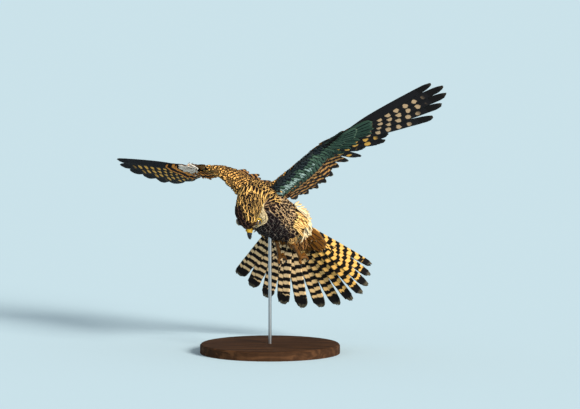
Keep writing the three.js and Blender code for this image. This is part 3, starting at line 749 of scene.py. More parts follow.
# %% Asking the skin
def place_on(form, points):
    """How far each point is from one form, the share along it and the turn round it."""
    count = len(form["centre"]) - 1
    nearest = np.full(len(points), np.inf)
    share, turn = np.zeros(len(points)), np.zeros(len(points))
    for i in range(count):
        start, step = form["centre"][i], form["centre"][i + 1] - form["centre"][i]
        t = np.clip((points - start) @ step / (step @ step), 0, 1)
        size = form["size"][i] + np.outer(t, form["size"][i + 1] - form["size"][i])
        offset = points - start - np.outer(t, step)
        x = dots(offset, form["across"][i]) / size[:, 0]
        y = dots(offset, form["upward"][i]) / size[:, 1]
        beyond = np.abs(offset @ step) / np.linalg.norm(step)
        distance = (np.hypot(x, y) - 1) * np.sqrt(size[:, 0] * size[:, 1]) + beyond
        closer = distance < nearest
        nearest = np.where(closer, distance, nearest)
        share = np.where(closer, (i + t) / count, share)
        turn = np.where(closer, np.arctan2(y, x), turn)
    return nearest, share, turn


def locate(points):
    """For each point the form it is on, the share along and the turn round it, and the lie."""
    best = np.full(len(points), np.inf)
    place = {"form": np.zeros(len(points), int), "along": np.zeros(len(points)),
             "turn": np.zeros(len(points))}
    flow = np.zeros((len(points), 3))
    for number, form in enumerate(FORMS.values()):
        nearest, share, turn = place_on(form, points)
        weight = 1 / (1.5 + np.maximum(nearest, 0)) ** 3
        flow += unit(through(form["lie"], share)) * weight[:, None]
        closer = nearest < best
        best = np.where(closer, nearest, best)
        for key, value in (("form", number), ("along", share), ("turn", turn)):
            place[key] = np.where(closer, value, place[key])
    place["lie"] = unit(flow)
    return place


skin_points = vertices_of(skin_mesh)
skin_normals = vertices_of(skin_mesh, "normal")
skin_faces = [tuple(face.vertices) for face in skin_mesh.polygons]
skin_tree = BVHTree.FromPolygons(skin_points.tolist(), skin_faces)
print("skin points", len(skin_points))

# %% [markdown]
# ## Feathers
# Thousands of feathers share a few shapes, so one small vane is made as a grid with a second
# sheet below it that shares its rim. It is then placed many times over as arrays, and bent so
# that it follows the skin. Real barbs would be far too many, so a feather is one thin closed
# leaf, and its barbs are left to the material. The rows crowd to the tip, where it is round.

# %% One unit vane
CROWD_TIP = 1.5


def unit_vane(columns, rows):
    """A closed vane: u across and v along, 0 to 1, side +1 above and -1 below, 0 on the rim."""
    bm = bmesh.new()
    bmesh.ops.create_grid(bm, x_segments=columns, y_segments=rows, size=0.5,
                          matrix=Matrix.Translation((0.5, 0.5, 0)))
    copy = bmesh.ops.duplicate(bm, geom=bm.verts[:] + bm.edges[:] + bm.faces[:])["geom"]
    lower = {item for item in copy if isinstance(item, bmesh.types.BMVert)}
    bmesh.ops.reverse_faces(bm, faces=[f for f in copy if isinstance(f, bmesh.types.BMFace)])
    for vert in bm.verts:
        inside = 0.001 < vert.co.x < 0.999 and 0.001 < vert.co.y < 0.999
        vert.co.z = (-1 if vert in lower else 1) if inside else 0
    bmesh.ops.remove_doubles(bm, verts=bm.verts, dist=1e-5)
    bm.verts.index_update()
    corners = np.array([[vert.index for vert in face.verts] for face in bm.faces])
    uvs = np.array([vert.co[:] for vert in bm.verts])
    below = np.array([face.normal.z < 0 or sum(v.co.z for v in face.verts) < 0
                      for face in bm.faces])
    bm.free()
    return {"u": uvs[:, 0], "v": 1 - (1 - uvs[:, 1]) ** CROWD_TIP, "side": uvs[:, 2],
            "corners": corners, "below": below}


SMALL_VANE = unit_vane(2, 4)
COVERT_VANE = unit_vane(4, 6)
FLIGHT_VANE = unit_vane(8, 24)
print("faces of a small vane", len(SMALL_VANE["corners"]),
      "of a flight feather", len(FLIGHT_VANE["corners"]))

# %% [markdown]
# A flock of feathers is a dictionary of arrays, one row for each feather. What isn't given has a
# plain default. The outline widens from the quill, may taper, and ends in a round tip. A shaft
# that bends sideways is swept, and one that bends out of its plane droops.

# %% Feathers as arrays
VECTORS = ("root", "direction", "across", "upper", "ground", "mark", "style", "patch")
DEFAULTS = {"web": 0.5, "sweep": 0.0, "droop": 0.0, "roll": 0.0, "thick": 0.35, "lift": 0.0,
            "rise": 0.0, "arch": 0.08, "quill": 0.4, "taper": 0.0, "tip": 0.35, "ragged": 0.06}
QUILL_PART, TAPER_FROM, BLUNT = 0.33, 0.4, 0.06


def flock(**given):
    """Arrays of one length for every value that a feather has."""
    count = len(given["root"])
    full = {}
    for key, value in {**DEFAULTS, **given}.items():
        value = np.asarray(value, float)
        wanted = (count,) + value.shape[-1:] if key in VECTORS else (count,)
        full[key] = np.broadcast_to(value, wanted).copy()
    return full


def outline(v, quill, taper, tip):
    """Half of the vane's width at v, as a share of its widest."""
    opened = np.clip(v / QUILL_PART, 0, 1)
    opened = quill + (1 - quill) * opened * opened * (3 - 2 * opened)
    narrowed = 1 - taper * np.clip((v - TAPER_FROM) / (1 - TAPER_FROM), 0, 1) ** 1.2
    into_tip = np.clip((v - (1 - tip)) / tip, 0, 1)
    return opened * narrowed * np.maximum(np.sqrt(1 - into_tip**2.2), BLUNT)


def vane_points(vane, birds, random):
    """Where each vertex of each feather is before it is settled, and its height over the vane."""
    u, v, side = vane["u"][None], vane["v"][None], vane["side"][None]
    of = {key: value[:, None] for key, value in birds.items() if key not in VECTORS}
    share = outline(v, of["quill"], of["taper"], of["tip"])
    rim = (side == 0) & (v > 0.3)
    share = share * np.where(rim, 1 + of["ragged"] * random.uniform(-1, 0.4, share.shape), 1)
    web = np.where(u < 0.5, (u - 0.5) * 2 * of["web"], (u - 0.5) * 2 * (1 - of["web"]))
    aside = web * of["width"] * share
    frayed = np.where(v > 0.85, of["ragged"], 0) * random.uniform(-0.5, 0.1, share.shape)
    distance = v * of["length"] * (1 + frayed)
    shift = aside + of["sweep"] * of["length"] * v * v
    height = (of["lift"] + of["rise"] * v + of["droop"] * of["length"] * v * v
              + of["roll"] * aside - of["arch"] * of["width"] * (2 * u - 1) ** 2 * share
              + side * of["thick"] / 2)
    flat = (birds["root"][:, None] + birds["direction"][:, None] * distance[..., None]
            + birds["across"][:, None] * shift[..., None])
    return flat, height


print("values with a default", len(DEFAULTS))

# %% [markdown]
# A flock is laid in one of three ways. Small feathers follow the skin, each vertex at its height
# along the skin's normal. Flight feathers stay in their own plane. Coverts sink along their own
# upper direction until they rest on what is below them. A vertex with nothing below it takes the
# middle height of its feather, so that no edge drops off.

# %% Three ways to lay a feather
REACH_SHARE = 0.55
LOOK_FROM, LOOK_THROUGH, CLEARANCE, MOST_DROP, MOST_RISE = 22, 34, 0.5, 4, 6


def settle_on_skin(flat, height, birds):
    """Lays each vertex over the nearest skin, at its height along the skin's normal."""
    settled = np.empty_like(flat)
    reach = birds["length"] * REACH_SHARE
    for index in np.ndindex(flat.shape[:2]):
        spot, normal, _, distance = skin_tree.find_nearest(flat[index])
        if distance > reach[index[0]]:
            spot, normal = flat[index], birds["upper"][index[0]]
        settled[index] = np.array(spot) + np.array(normal) * height[index]
    return settled


def stay_in_plane(flat, height, birds):
    """Leaves each vertex over its own place, at its height along the feather's upper side."""
    return flat + birds["upper"][:, None] * height[..., None]


def settle_over(tree):
    """Lays feathers over whatever the tree holds, seen along their own upper direction."""
    def settle(flat, height, birds):
        floor = np.full(flat.shape[:2], np.nan)
        for index in np.ndindex(flat.shape[:2]):
            upper = birds["upper"][index[0]]
            start = flat[index] + upper * LOOK_FROM
            spot = tree.ray_cast(start, -upper, LOOK_THROUGH)[0]
            if spot is not None:
                floor[index] = np.dot(np.array(spot) - flat[index], upper)
        middle = np.nan_to_num(np.nanmedian(floor, axis=1), nan=0.0)[:, None]
        floor = np.where(np.isnan(floor), middle, floor)
        floor = np.clip(floor, middle - MOST_DROP, middle + MOST_RISE)
        return flat + birds["upper"][:, None] * (floor + CLEARANCE + height)[..., None]
    return settle


print("a covert lies", CLEARANCE, "mm over what is below it")

# %% [markdown]
# All the feathers of a flock become one mesh. The map named Vane runs across and along each
# feather for its pattern. The map named OFBake gives each small feather one small patch where
# its root lies on the skin's own unwrap, and each flight feather two strips of its own, one for
# each face. A flock's colours lie on its vertices, so that one material serves them all.

# %% Feathers into one mesh
PATCH = 0.003


def repeated_faces(vane, count):
    """The corners of every face of many vanes, each vane with vertices of its own."""
    first = np.arange(count) * len(vane["u"])
    return (vane["corners"][None] + first[:, None, None]).reshape(-1, 4)


def mesh_of(name, vane, points):
    """A mesh with one vane for each row of points."""
    faces = repeated_faces(vane, len(points))
    mesh = bpy.data.meshes.new(name)
    mesh.vertices.add(points.shape[0] * points.shape[1])
    world = np.c_[points.reshape(-1, 3), np.ones(len(mesh.vertices))] @ np.array(STOOD).T
    mesh.vertices.foreach_set("co", world[:, :3].astype(np.float32).ravel())
    mesh.loops.add(faces.size)
    mesh.loops.foreach_set("vertex_index", faces.ravel().astype(np.int32))
    mesh.polygons.add(len(faces))
    mesh.polygons.foreach_set("loop_start", np.arange(0, faces.size, 4, dtype=np.int32))
    mesh.update(calc_edges=True)
    return mesh


def add_maps(mesh, vane, birds, own_map):
    """The two maps, and which corners are on the feather's lower face."""
    corners, count = vane["corners"], len(birds["root"])
    u = np.tile(vane["u"][corners].ravel(), count)
    v = np.tile(vane["v"][corners].ravel(), count)
    below = np.tile(np.repeat(vane["below"], 4).astype(float), count)
    bake = mesh.uv_layers.new(name="OFBake")
    if own_map:
        column = np.repeat(np.arange(count), corners.size) + 0.5 * below
        spread = np.stack([(column + 0.04 + 0.42 * u) / count, 0.02 + 0.96 * v], axis=1)
    else:
        roots = np.repeat(birds["patch"], corners.size, axis=0)
        spread = roots + PATCH * (np.stack([u, v], axis=1) - 0.5)
    bake.data.foreach_set("uv", spread.astype(np.float32).ravel())
    own = mesh.uv_layers.new(name="Vane")
    own.data.foreach_set("uv", np.stack([u, v], axis=1).astype(np.float32).ravel())
    under = mesh.attributes.new("below", "FLOAT", "CORNER")
    under.data.foreach_set("value", below.astype(np.float32))


def add_colours(mesh, birds):
    """Each feather's colours and style, on all of its vertices."""
    size = len(mesh.vertices) // len(birds["root"])
    for key in ("ground", "mark", "style"):
        layer = mesh.attributes.new(key, "FLOAT_COLOR", "POINT")
        values = np.repeat(birds[key], size, axis=0)
        layer.data.foreach_set("color", values.astype(np.float32).ravel())

# %% The object of a flock
def feathers_object(name, vane, birds, material, settle=stay_in_plane, *, seed, own_map=False):
    """One object of all the feathers of a flock, and where its vertices lie."""
    flat, height = vane_points(vane, birds, np.random.default_rng(seed))
    points = settle(flat, height, birds)
    mesh = mesh_of(name, vane, points)
    add_maps(mesh, vane, birds, own_map)
    add_colours(mesh, birds)
    mesh.materials.append(material)
    mesh.shade_smooth()
    made = bpy.data.objects.new(name, mesh)
    bpy.context.scene.collection.objects.link(made)
    print(name, len(points), "feathers", len(mesh.polygons) * 2, "triangles")
    return made, points


def tree_of(laid, vane):
    """A search tree over the skin and the feathers that are already laid."""
    faces = repeated_faces(vane, len(laid)) + len(skin_points)
    points = np.concatenate([skin_points, laid.reshape(-1, 3)])
    return BVHTree.FromPolygons(points.tolist(), skin_faces + faces.tolist())

# %% [markdown]
# ## Flight feathers and tail
# Each wing has 23 flight feathers. Seen from above, an inner feather lies over its outer
# neighbour, so every vane is rolled a little about its shaft. The hand's feathers are dark with
# pale ovals on their inner webs, and the arm's are rufous with dark bars. The arm's feathers are
# narrow at their ends and by turns a little longer and shorter, so that the wing's back edge is
# scalloped and not one clean line.

# %% Wing feathers
PRIMARY_GROUND, PRIMARY_SPOT = colour(24, 22, 28), colour(204, 168, 130)
SECONDARY_GROUND, SECONDARY_BAR = colour(196, 140, 76), colour(26, 16, 24)
INNER_SPOT = colour(236, 176, 84)
FINGERS, EVEN_FEATHERS, WIDE_FEATHERS, DARK_FEATHERS = 5, 6, 8, 9
SPOT_SPACING, BAR_SPACING, BAR_SHARE = 16.5, 13.5, 0.60
SHORT_SHARE, LONG_SHARE, NARROW_SHARE = 0.95, 1.08, 0.72
BAND_FROM, NO_BAND = 0.84, 1.2
VANE_TAPERS = [0.40, 0.34, 0.22, 0.30, 0.50, 0.55, 0.50, 0.40]


def with_alpha(tones, alpha):
    """Colours with the number that each feather carries beside them."""
    tones = np.asarray(tones, float)
    return np.concatenate([tones, np.broadcast_to(alpha, tones.shape[:-1])[..., None]], axis=-1)


def wing_feathers(wing, random):
    """The flock of one wing's flight feathers, from the wing's tip inwards."""
    k = np.arange(REMIGES)
    left, finger, dark = wing["side"] > 0, k < FINGERS, k < DARK_FEATHERS
    ground = np.where(dark[:, None], PRIMARY_GROUND, SECONDARY_GROUND)
    spot = np.where(finger[:, None] & left, PRIMARY_SPOT, INNER_SPOT)
    mark = np.where(dark[:, None], spot, SECONDARY_BAR)
    bars = wing["length"] / np.where(dark, SPOT_SPACING, BAR_SPACING)
    bars = bars + random.uniform(-0.3, 0.3, REMIGES)
    spotted = (dark & (k > 0)).astype(float)
    style = np.stack([bars, np.where(dark, 0.0, BAR_SHARE), spotted], axis=1)
    uneven = np.where(k % 2, SHORT_SHARE, LONG_SHARE) + random.uniform(-0.015, 0.015, REMIGES)
    return flock(
        root=wing["root"], direction=wing["direction"], across=wing["across"],
        upper=wing["upper"], length=wing["length"] * np.where(k < EVEN_FEATHERS, 1.0, uneven),
        width=wing["width"] * np.where(k < WIDE_FEATHERS, 1.0, NARROW_SHARE), web=OUTER_WEB,
        sweep=np.where(dark, 0.07, -0.05), droop=0.02, roll=np.where(dark, -0.10, -0.08),
        thick=0.6, arch=0.035, quill=0.5, taper=through(VANE_TAPERS, k / (REMIGES - 1)),
        tip=np.where(finger, 0.10, 0.26), ragged=np.where(finger, 0.02, 0.06),
        ground=with_alpha(ground, np.where(dark | left, BAND_FROM, NO_BAND)),
        mark=with_alpha(mark, np.where(dark, 0.02, 0.3)), style=with_alpha(style, 0.0),
        patch=(0.5, 0.5))


wing_pieces, wing_trees = {}, {}
for number, (name, wing) in enumerate(wings.items()):
    birds = wing_feathers(wing, np.random.default_rng(30 + number))
    piece, laid = feathers_object(f"wing_{name}_flight_feathers", FLIGHT_VANE, birds,
                                  flight_material, seed=10 + number, own_map=True)
    wing_pieces[name] = [piece]
    wing_trees[name] = tree_of(laid, FLIGHT_VANE)

# %% [markdown]
# The tail's twelve are barred across both webs and end in a broad black band with a worn pale
# tip. Each has its own count of bars, so that they do not line up from feather to feather. The
# middle ones lie on top. Those on the right are buff, painted paler as light shining through
# them.

# %% Tail feathers
# The pale ground is buff, painted paler still as light shining through the feathers.
TAIL_PALE_AND_PAINTED_GLOW, TAIL_GROUND = colour(255, 214, 160), colour(250, 192, 104)
TAIL_BAR = colour(12, 9, 14)
TAIL_WIDTHS = [20.5, 21, 20, 13.5, 10.5]
TAIL_BAR_SPACING, TAIL_BAR_SHARE, TAIL_BAND_FROM = 13.5, 0.52, 0.88
MIDDLE_RISE, RISE_TO_SIDE = 3.0, 3.4


def tail_vanes(tail, random):
    """The flock of the tail's feathers, from its right side to its left."""
    count, from_middle = TAIL_FEATHERS, 2 * tail["t"] - 1
    stacked = MIDDLE_RISE - RISE_TO_SIDE * np.abs(from_middle)
    bars = tail["length"] / TAIL_BAR_SPACING + random.uniform(-0.9, 0.9, count)
    style = np.stack([bars, np.full(count, TAIL_BAR_SHARE), np.zeros(count)], axis=1)
    ground = through([TAIL_PALE_AND_PAINTED_GLOW, TAIL_PALE_AND_PAINTED_GLOW, TAIL_GROUND, TAIL_GROUND], tail["t"])
    return flock(
        root=tail["root"] + tail["upper"] * stacked[:, None],
        direction=tail["direction"], across=tail["across"], upper=tail["upper"],
        length=tail["length"], width=through(TAIL_WIDTHS, tail["t"]),
        web=0.5 + 0.2 * from_middle,
        sweep=-0.03 * from_middle, droop=0.02, roll=0.10 * from_middle, thick=0.6, arch=0.03,
        quill=0.45, taper=0.04, tip=0.085, ragged=0.05,
        ground=with_alpha(ground, TAIL_BAND_FROM),
        mark=with_alpha(np.tile(TAIL_BAR, (count, 1)), 0.12), style=with_alpha(style, 0.0),
        patch=(0.5, 0.5))


tail_piece, tail_laid = feathers_object("tail_feathers", FLIGHT_VANE,
                                        tail_vanes(tail, np.random.default_rng(5)),
                                        flight_material, seed=3, own_map=True)

# %% [markdown]
# ## The coat's markings
# A female kestrel is rufous above with dark bars, and streaked on her crown and nape. Her cheek
# and throat are pale, and a dark stripe runs down from the eye. Below she has a streaked breast
# and belly, a mottled side, and long loose feathers of gold and cream on the flank that faces the
# sun. Each colour is as the eye meets it there: painted shade darkens the breast, belly and vent,
# the lining and leading edge of the wing, and the side of the head that is turned from the sun.

# %% Colours of the coat
RUFOUS, TAWNY = colour(255, 194, 108), colour(250, 198, 116)
INK, UMBER, CREAM = colour(24, 16, 18), colour(54, 34, 26), colour(250, 226, 170)
# The breast and belly are buff with dark streaks; their dark grounds here are painted shade.
BREAST_IN_PAINTED_SHADE, BELLY_IN_PAINTED_SHADE = colour(86, 78, 74), colour(84, 68, 54)
CHEEK, SHADE = colour(226, 204, 160), colour(104, 92, 78)
# The wing's lining and its spots are painted dark green and slate as shade; the real lining is
# pale buff with dark spots.
LINING_IN_PAINTED_SHADE, SLATE = colour(66, 90, 76), colour(12, 16, 22)
print("linear rufous", [round(channel, 3) for channel in RUFOUS])

# %% [markdown]
# Each region of the coat is one row of a table: the feather's length, width, spacing and the
# coat's depth in millimetres, then the pattern and its two colours.

# %% The table of regions
COLUMNS = ("length", "width", "spacing", "depth", "bars", "bar_width", "streak", "fringe",
           "ground", "mark")
# name: length, width, spacing, depth, bars, bar width, streak, fringe, ground, mark
REGIONS = {
    "face": (4.2, 2.4, 1.6, 1.9, 0, 0, 0.16, 0.0, CHEEK, UMBER),
    "forehead": (6.0, 2.6, 1.8, 2.0, 0, 0, 0.80, 0.0, colour(132, 94, 58), INK),
    "crown": (13, 5.0, 3.3, 2.6, 0, 0, 0.78, 0.0, TAWNY, INK),
    "stripe": (4.8, 2.4, 1.6, 2.0, 0, 0, 0.80, 0.0, SHADE, INK),
    "throat": (6.5, 3.6, 2.2, 2.4, 0, 0, 0.0, 0.2, CREAM, UMBER),
    "nape": (16, 6.8, 4.2, 4.2, 0, 0, 0.72, 0.05, TAWNY, INK),
    "foreneck": (13, 6.5, 3.4, 3.6, 0, 0, 0.72, 0.1, colour(150, 118, 88), INK),
    "mantle": (16, 9.0, 4.4, 4.8, 1.9, 0.36, 0.46, 0.05, RUFOUS, INK),
    # The breast, belly and vent have dark grounds that are painted shade, under their own
    # streaks.
    "breast": (16, 8.0, 4.1, 4.8, 0, 0, 0.72, 0.25, BREAST_IN_PAINTED_SHADE, INK),
    "belly": (17, 7.5, 4.1, 4.8, 0, 0, 0.74, 0.1, BELLY_IN_PAINTED_SHADE, INK),
    "vent": (18, 7.0, 4.2, 4.6, 0, 0, 0.35, 0.1, colour(150, 104, 58), UMBER),
    "rump": (20, 10, 4.8, 3.0, 2.2, 0.30, 0.0, 0.2, TAWNY, UMBER),
    "thigh": (16, 5.2, 3.2, 4.4, 0, 0, 0.30, 0.2, colour(206, 160, 98), UMBER),
    "wing_upper": (12.5, 7.2, 4.1, 2.4, 1.7, 0.34, 0.50, 0.05, RUFOUS, INK),
    # The lining below the wing is painted dark green as shade; the real lining is pale buff.
    "wing_lining": (13, 6.5, 4.0, 2.0, 0, 0, 0.30, 0.08, LINING_IN_PAINTED_SHADE, SLATE),
    "axillary": (15, 4.0, 3.2, 2.0, 0, 0, 0.26, 0.05, colour(152, 176, 170), SLATE),
    "inner_wing": (14, 6.5, 4.0, 2.4, 1.7, 0.42, 0.2, 0.15, colour(176, 126, 78), INK),
    "wrist_patch": (12, 4.2, 2.8, 5.5, 0, 0, 0.12, 0.2, colour(252, 238, 218), UMBER),
    "flank": (21, 2.8, 2.1, 14.0, 0, 0, 0.40, 0.0, colour(255, 236, 196), colour(240, 192, 122)),
    "golden_flank": (19, 3.2, 2.1, 11.0, 0, 0, 0.36, 0.0, colour(255, 212, 134),
                     colour(150, 92, 44)),
    "side": (15, 8.0, 4.1, 4.8, 0, 0, 0.66, 0.3, colour(214, 176, 130), INK),
    # The side of the head turned from the sun: its dark stripe, with painted shade over the rest.
    "stripe_and_painted_shade": (9.0, 3.8, 2.7, 2.6, 0, 0, 0.90, 0.0, colour(88, 66, 54), INK),
    "hand_dark": (9.0, 5.0, 3.3, 1.5, 1.4, 0.40, 0.0, 0.1, colour(28, 24, 28),
                  colour(226, 146, 66)),
    # The wing's leading edge below, painted near black as shade.
    "wing_edge_in_painted_shade": (8.0, 4.4, 2.8, 1.8, 0, 0, 0.55, 0.02, colour(40, 50, 54), SLATE),
    "hand_upper": (7.0, 4.4, 3.2, 1.6, 1.2, 0.5, 0.3, 0.1, TAWNY, INK),
    # The hand's lining is painted dark as shade, as the arm's is.
    "hand_lining": (9, 4.8, 3.3, 1.5, 0, 0, 0.20, 0.05, LINING_IN_PAINTED_SHADE, SLATE),
}
REGION_NAMES = list(REGIONS)


def table_of(column):
    """One column of the table, with a row for each region."""
    return np.array([REGIONS[name][COLUMNS.index(column)] for name in REGION_NAMES])


print("regions", len(REGIONS))

# %% [markdown]
# Where a region lies is a question of the form, the share along it and the turn round it, and on
# the head of the distances from its centre. The first answer that fits is taken, so the small
# regions stand above the large ones.

# %% The borders of the regions
def region_of(points, place, random):
    """The number of the region that each point is in. A little chance blurs the borders."""
    blur = random.normal(0, 1, len(points))
    share = place["along"] + 0.02 * blur
    turn, up = place["turn"], np.sin(place["turn"])
    ahead, left, rise = ((points - HEAD_CENTRE) @ HEAD.T + 0.35 * blur[:, None]).T
    out = np.abs(left)
    behind_eye = np.abs(rise - 1.8 - 0.12 * (9 - ahead)) < 1.6
    form = np.array(FORM_NAMES)[place["form"]]
    head, neck, trunk, rump = (form == name for name in ("head", "neck", "trunk", "rump"))
    left_wing, right_wing = form == "wing_left", form == "wing_right"
    wing = left_wing | right_wing
    arm = wing & (share <= 0.68)
    edge = np.abs(turn) > np.where(left_wing, 2.75, 2.45)
    flank = trunk & (share < 0.46) & (np.cos(turn) > 0.2) & (up > -0.3) & (up < 0.72)
    choices = [
        # The side of the head turned from the sun is dark: its stripe, and painted shade over the
        # rest.
        (head & (left < -5.5 + 0.5 * ahead) & (ahead > -7), "stripe_and_painted_shade"),
        (head & (left > 9.0) & (rise < 7) & (ahead > -5) & (ahead < 14), "face"),
        (head & (ahead > 4) & (ahead < 12) & (rise < -2.5) & (rise > -13) & (out > 8), "stripe"),
        (head & (ahead < 5) & (ahead > -5) & behind_eye, "stripe"),
        (head & (rise < -9.5), "throat"),
        (head & (rise < 2.2) & (out > 5), "face"),
        (head & (ahead > 13), "forehead"),
        (head, "crown"),
        (neck & (up > -0.25) & (share > 0.80), "crown"),
        (neck & (up > -0.25), "nape"),
        (neck & (share > 0.72), "throat"),
        (neck, "foreneck"),
        (flank & (share > 0.34) & (up < 0.5), "golden_flank"),
        (flank, "flank"),
        (trunk & (np.cos(turn) > 0) & (up > -0.48) & (up < 0.72), "side"),
        (trunk & (up > 0.12) & (share > 0.45), "mantle"),
        (trunk & (up > 0.45) & (share > 0.25), "mantle"),
        (trunk & (up > 0.45), "rump"),
        (trunk & (share < 0.24), "vent"),
        (trunk & (share < 0.46), "belly"),
        (trunk, "breast"),
        (rump & (up > 0), "rump"),
        (rump, "vent"),
        (np.char.startswith(form, "thigh"), "thigh"),
        (right_wing & (share > 0.885) & (up > -0.5), "wrist_patch"),
        (left_wing & (share < 0.22) & (turn > -2.7) & (turn < -2.1), "axillary"),
        (left_wing & (share < 0.55) & (turn > -2.45) & (turn < -2.0) & (blur > 0), "axillary"),
        (left_wing & (share < 0.24) & (turn > -1.5) & (up < 0), "inner_wing"),
        (right_wing & arm & edge & (up > -0.8), "wing_upper"),
        (right_wing & (share > 0.55) & (up < 0), "hand_dark"),
        # The wing's leading edge below is a region of painted shade.
        (left_wing & edge & (up < 0.65), "wing_edge_in_painted_shade"),
        (arm & edge & (up < 0.3), "wing_edge_in_painted_shade"),
        (arm & (up > 0), "wing_upper"),
        (arm, "wing_lining"),
        (wing & (up > 0), "hand_upper"),
    ]
    return np.select([where for where, _ in choices],
                     [REGION_NAMES.index(name) for _, name in choices],
                     REGION_NAMES.index("hand_lining"))


SEED = 7
random = np.random.default_rng(SEED)
skin_place = locate(skin_points)
skin_region = region_of(skin_points, skin_place, random)
print("skin points of the flank", np.sum(skin_region == REGION_NAMES.index("flank")))

# %% [markdown]
# The skin's unwrap gives each form a rectangle, as wide as the form is round and as high as it
# is long. The skin uses it and so do the feathers, whose roots sit at the same places.

# %% The skin's unwrap
# name: left edge, lower edge, width and height of its rectangle
CHARTS = {"trunk": (0.02, 0.02, 0.36, 0.26), "neck": (0.02, 0.30, 0.30, 0.13),
          "head": (0.02, 0.45, 0.26, 0.12), "rump": (0.02, 0.59, 0.22, 0.13),
          "thigh_left": (0.02, 0.74, 0.18, 0.16), "thigh_right": (0.22, 0.74, 0.18, 0.16),
          "wing_left": (0.42, 0.02, 0.26, 0.60), "wing_right": (0.71, 0.02, 0.26, 0.60)}


def unwrapped(place):
    """The point of the unwrap for places on the skin."""
    chart = np.array([CHARTS[name] for name in FORM_NAMES])[place["form"]]
    return np.stack([chart[:, 0] + chart[:, 2] * (place["turn"] / (2 * math.pi) + 0.5),
                     chart[:, 1] + chart[:, 3] * place["along"]], axis=1)


print("root of the first feather on the unwrap",
      unwrapped({key: value[:1] for key, value in skin_place.items()}).round(3))

# %% [markdown]
# ## Where the small feathers grow
# The skin's own vertices are the places where a feather may grow. They are taken in a random
# order, and each one that is taken rules out its neighbours within the region's spacing, which
# gives an even coat with no rows. Bare parts stay free: the cere, the ring round the eye, and
# under the greater coverts, which are laid one by one later.

# %% Scatter the roots
EYE_AT = (9.5, 13.4, 2.5)
BARE_AHEAD, BARE_ROUND_EYE, COVERTS_FROM = 21.5, 6.7, 0.62
COAT_ENDS = {"wing_left": 0.90, "wing_right": 0.98}


def eye_centre(side):
    """Where an eye is: side 1 is the left one and -1 the right one."""
    return along(HEAD, HEAD_CENTRE, EYE_AT[0], side * EYE_AT[1], EYE_AT[2])


def may_grow(points, normals, place):
    """Whether each point may hold a feather. The hand's end is left to the coverts too."""
    form = np.array(FORM_NAMES)[place["form"]]
    bare = ((points - HEAD_CENTRE) @ HEAD.T)[:, 0] > BARE_AHEAD
    for side in (1, -1):
        near = np.linalg.norm(points - eye_centre(side), axis=1) < BARE_ROUND_EYE
        bare |= near & (dots(normals, side * HEAD[1][None]) > 0)
    for name, end in COAT_ENDS.items():
        trailing = np.cos(place["turn"]) > COVERTS_FROM
        bare |= (form == name) & (trailing | (place["along"] > end))
    return ~bare


def spaced_roots(points, spacing, allowed, random):
    """Indices of points that keep their own spacing, taken in a random order."""
    tree = KDTree(len(points))
    for index, point in enumerate(points):
        tree.insert(point, index)
    tree.balance()
    free, taken = allowed.copy(), []
    for index in random.permutation(len(points)):
        if free[index]:
            taken.append(index)
            for _, other, _ in tree.find_range(points[index], spacing[index]):
                free[other] = False
    return np.array(taken)


allowed = may_grow(skin_points, skin_normals, skin_place)
roots = spaced_roots(skin_points, table_of("spacing")[skin_region], allowed, random)
print("small feathers", len(roots))

# %% [markdown]
# Each small feather takes its size, depth and colours from its region, and a little chance of
# its own. Its root is sunk in the coat and its tip rises to the coat's outside, so that every
# feather lies over the next one. Loose regions, where the feathers stand apart in the air, swing
# them further from the lie.

# %% Clothe the skin
LOOSE_REGIONS = [REGION_NAMES.index(name) for name in ("flank", "wrist_patch")]
SWING, LOOSER = 0.10, 3.5


def coat_flock(index, random):
    """Small feathers at these vertices of the skin."""
    count = len(index)
    points, normals = skin_points[index], skin_normals[index]
    region = skin_region[index]
    row = {column: table_of(column)[region] for column in COLUMNS}
    lie = sideways(skin_place["lie"][index], normals)
    looser = np.where(np.isin(region, LOOSE_REGIONS), LOOSER, 1)
    swing = (random.normal(0, SWING, count) * looser)[:, None]
    lie = unit(lie + swing * np.cross(normals, lie))
    size = random.uniform(0.88, 1.12, count)
    shade = random.uniform(0.80, 1.14, (count, 1))
    style = np.stack([row["bars"], row["bar_width"], np.zeros(count)], axis=1)
    place = {key: value[index] for key, value in skin_place.items()}
    return flock(
        root=points, direction=lie, across=np.cross(normals, lie), upper=normals,
        length=row["length"] * size, width=row["width"] * random.uniform(0.9, 1.1, count),
        lift=row["depth"] * random.uniform(0.40, 0.55, count),
        rise=row["depth"] * random.uniform(0.42, 0.62, count),
        thick=0.25, arch=0.10, quill=0.5, tip=0.42, ragged=0.12,
        ground=with_alpha(np.stack(row["ground"]) * shade, NO_BAND),
        mark=with_alpha(np.stack(row["mark"]) * shade, row["fringe"]),
        style=with_alpha(style, row["streak"] * random.uniform(0.75, 1.2, count)),
        patch=unwrapped(place))


coat = []
root_form = np.array(FORM_NAMES)[skin_place["form"][roots]]
for number, form_name in enumerate(FORM_NAMES):
    here = roots[root_form == form_name]
    vane = SMALL_VANE if form_name == "head" else COVERT_VANE
    piece, _ = feathers_object(f"coat_{form_name}", vane, coat_flock(here, random),
                               coat_material, settle_on_skin, seed=20 + number)
    coat.append(piece)

# %% [markdown]
# ## The rows of coverts
# Over the roots of the flight feathers lie ordered rows, one covert for each feather, on both
# faces of the wing. A search tree over the skin and the flight feathers tells how high each
# covert must lie, so the rows rest on what is below them.

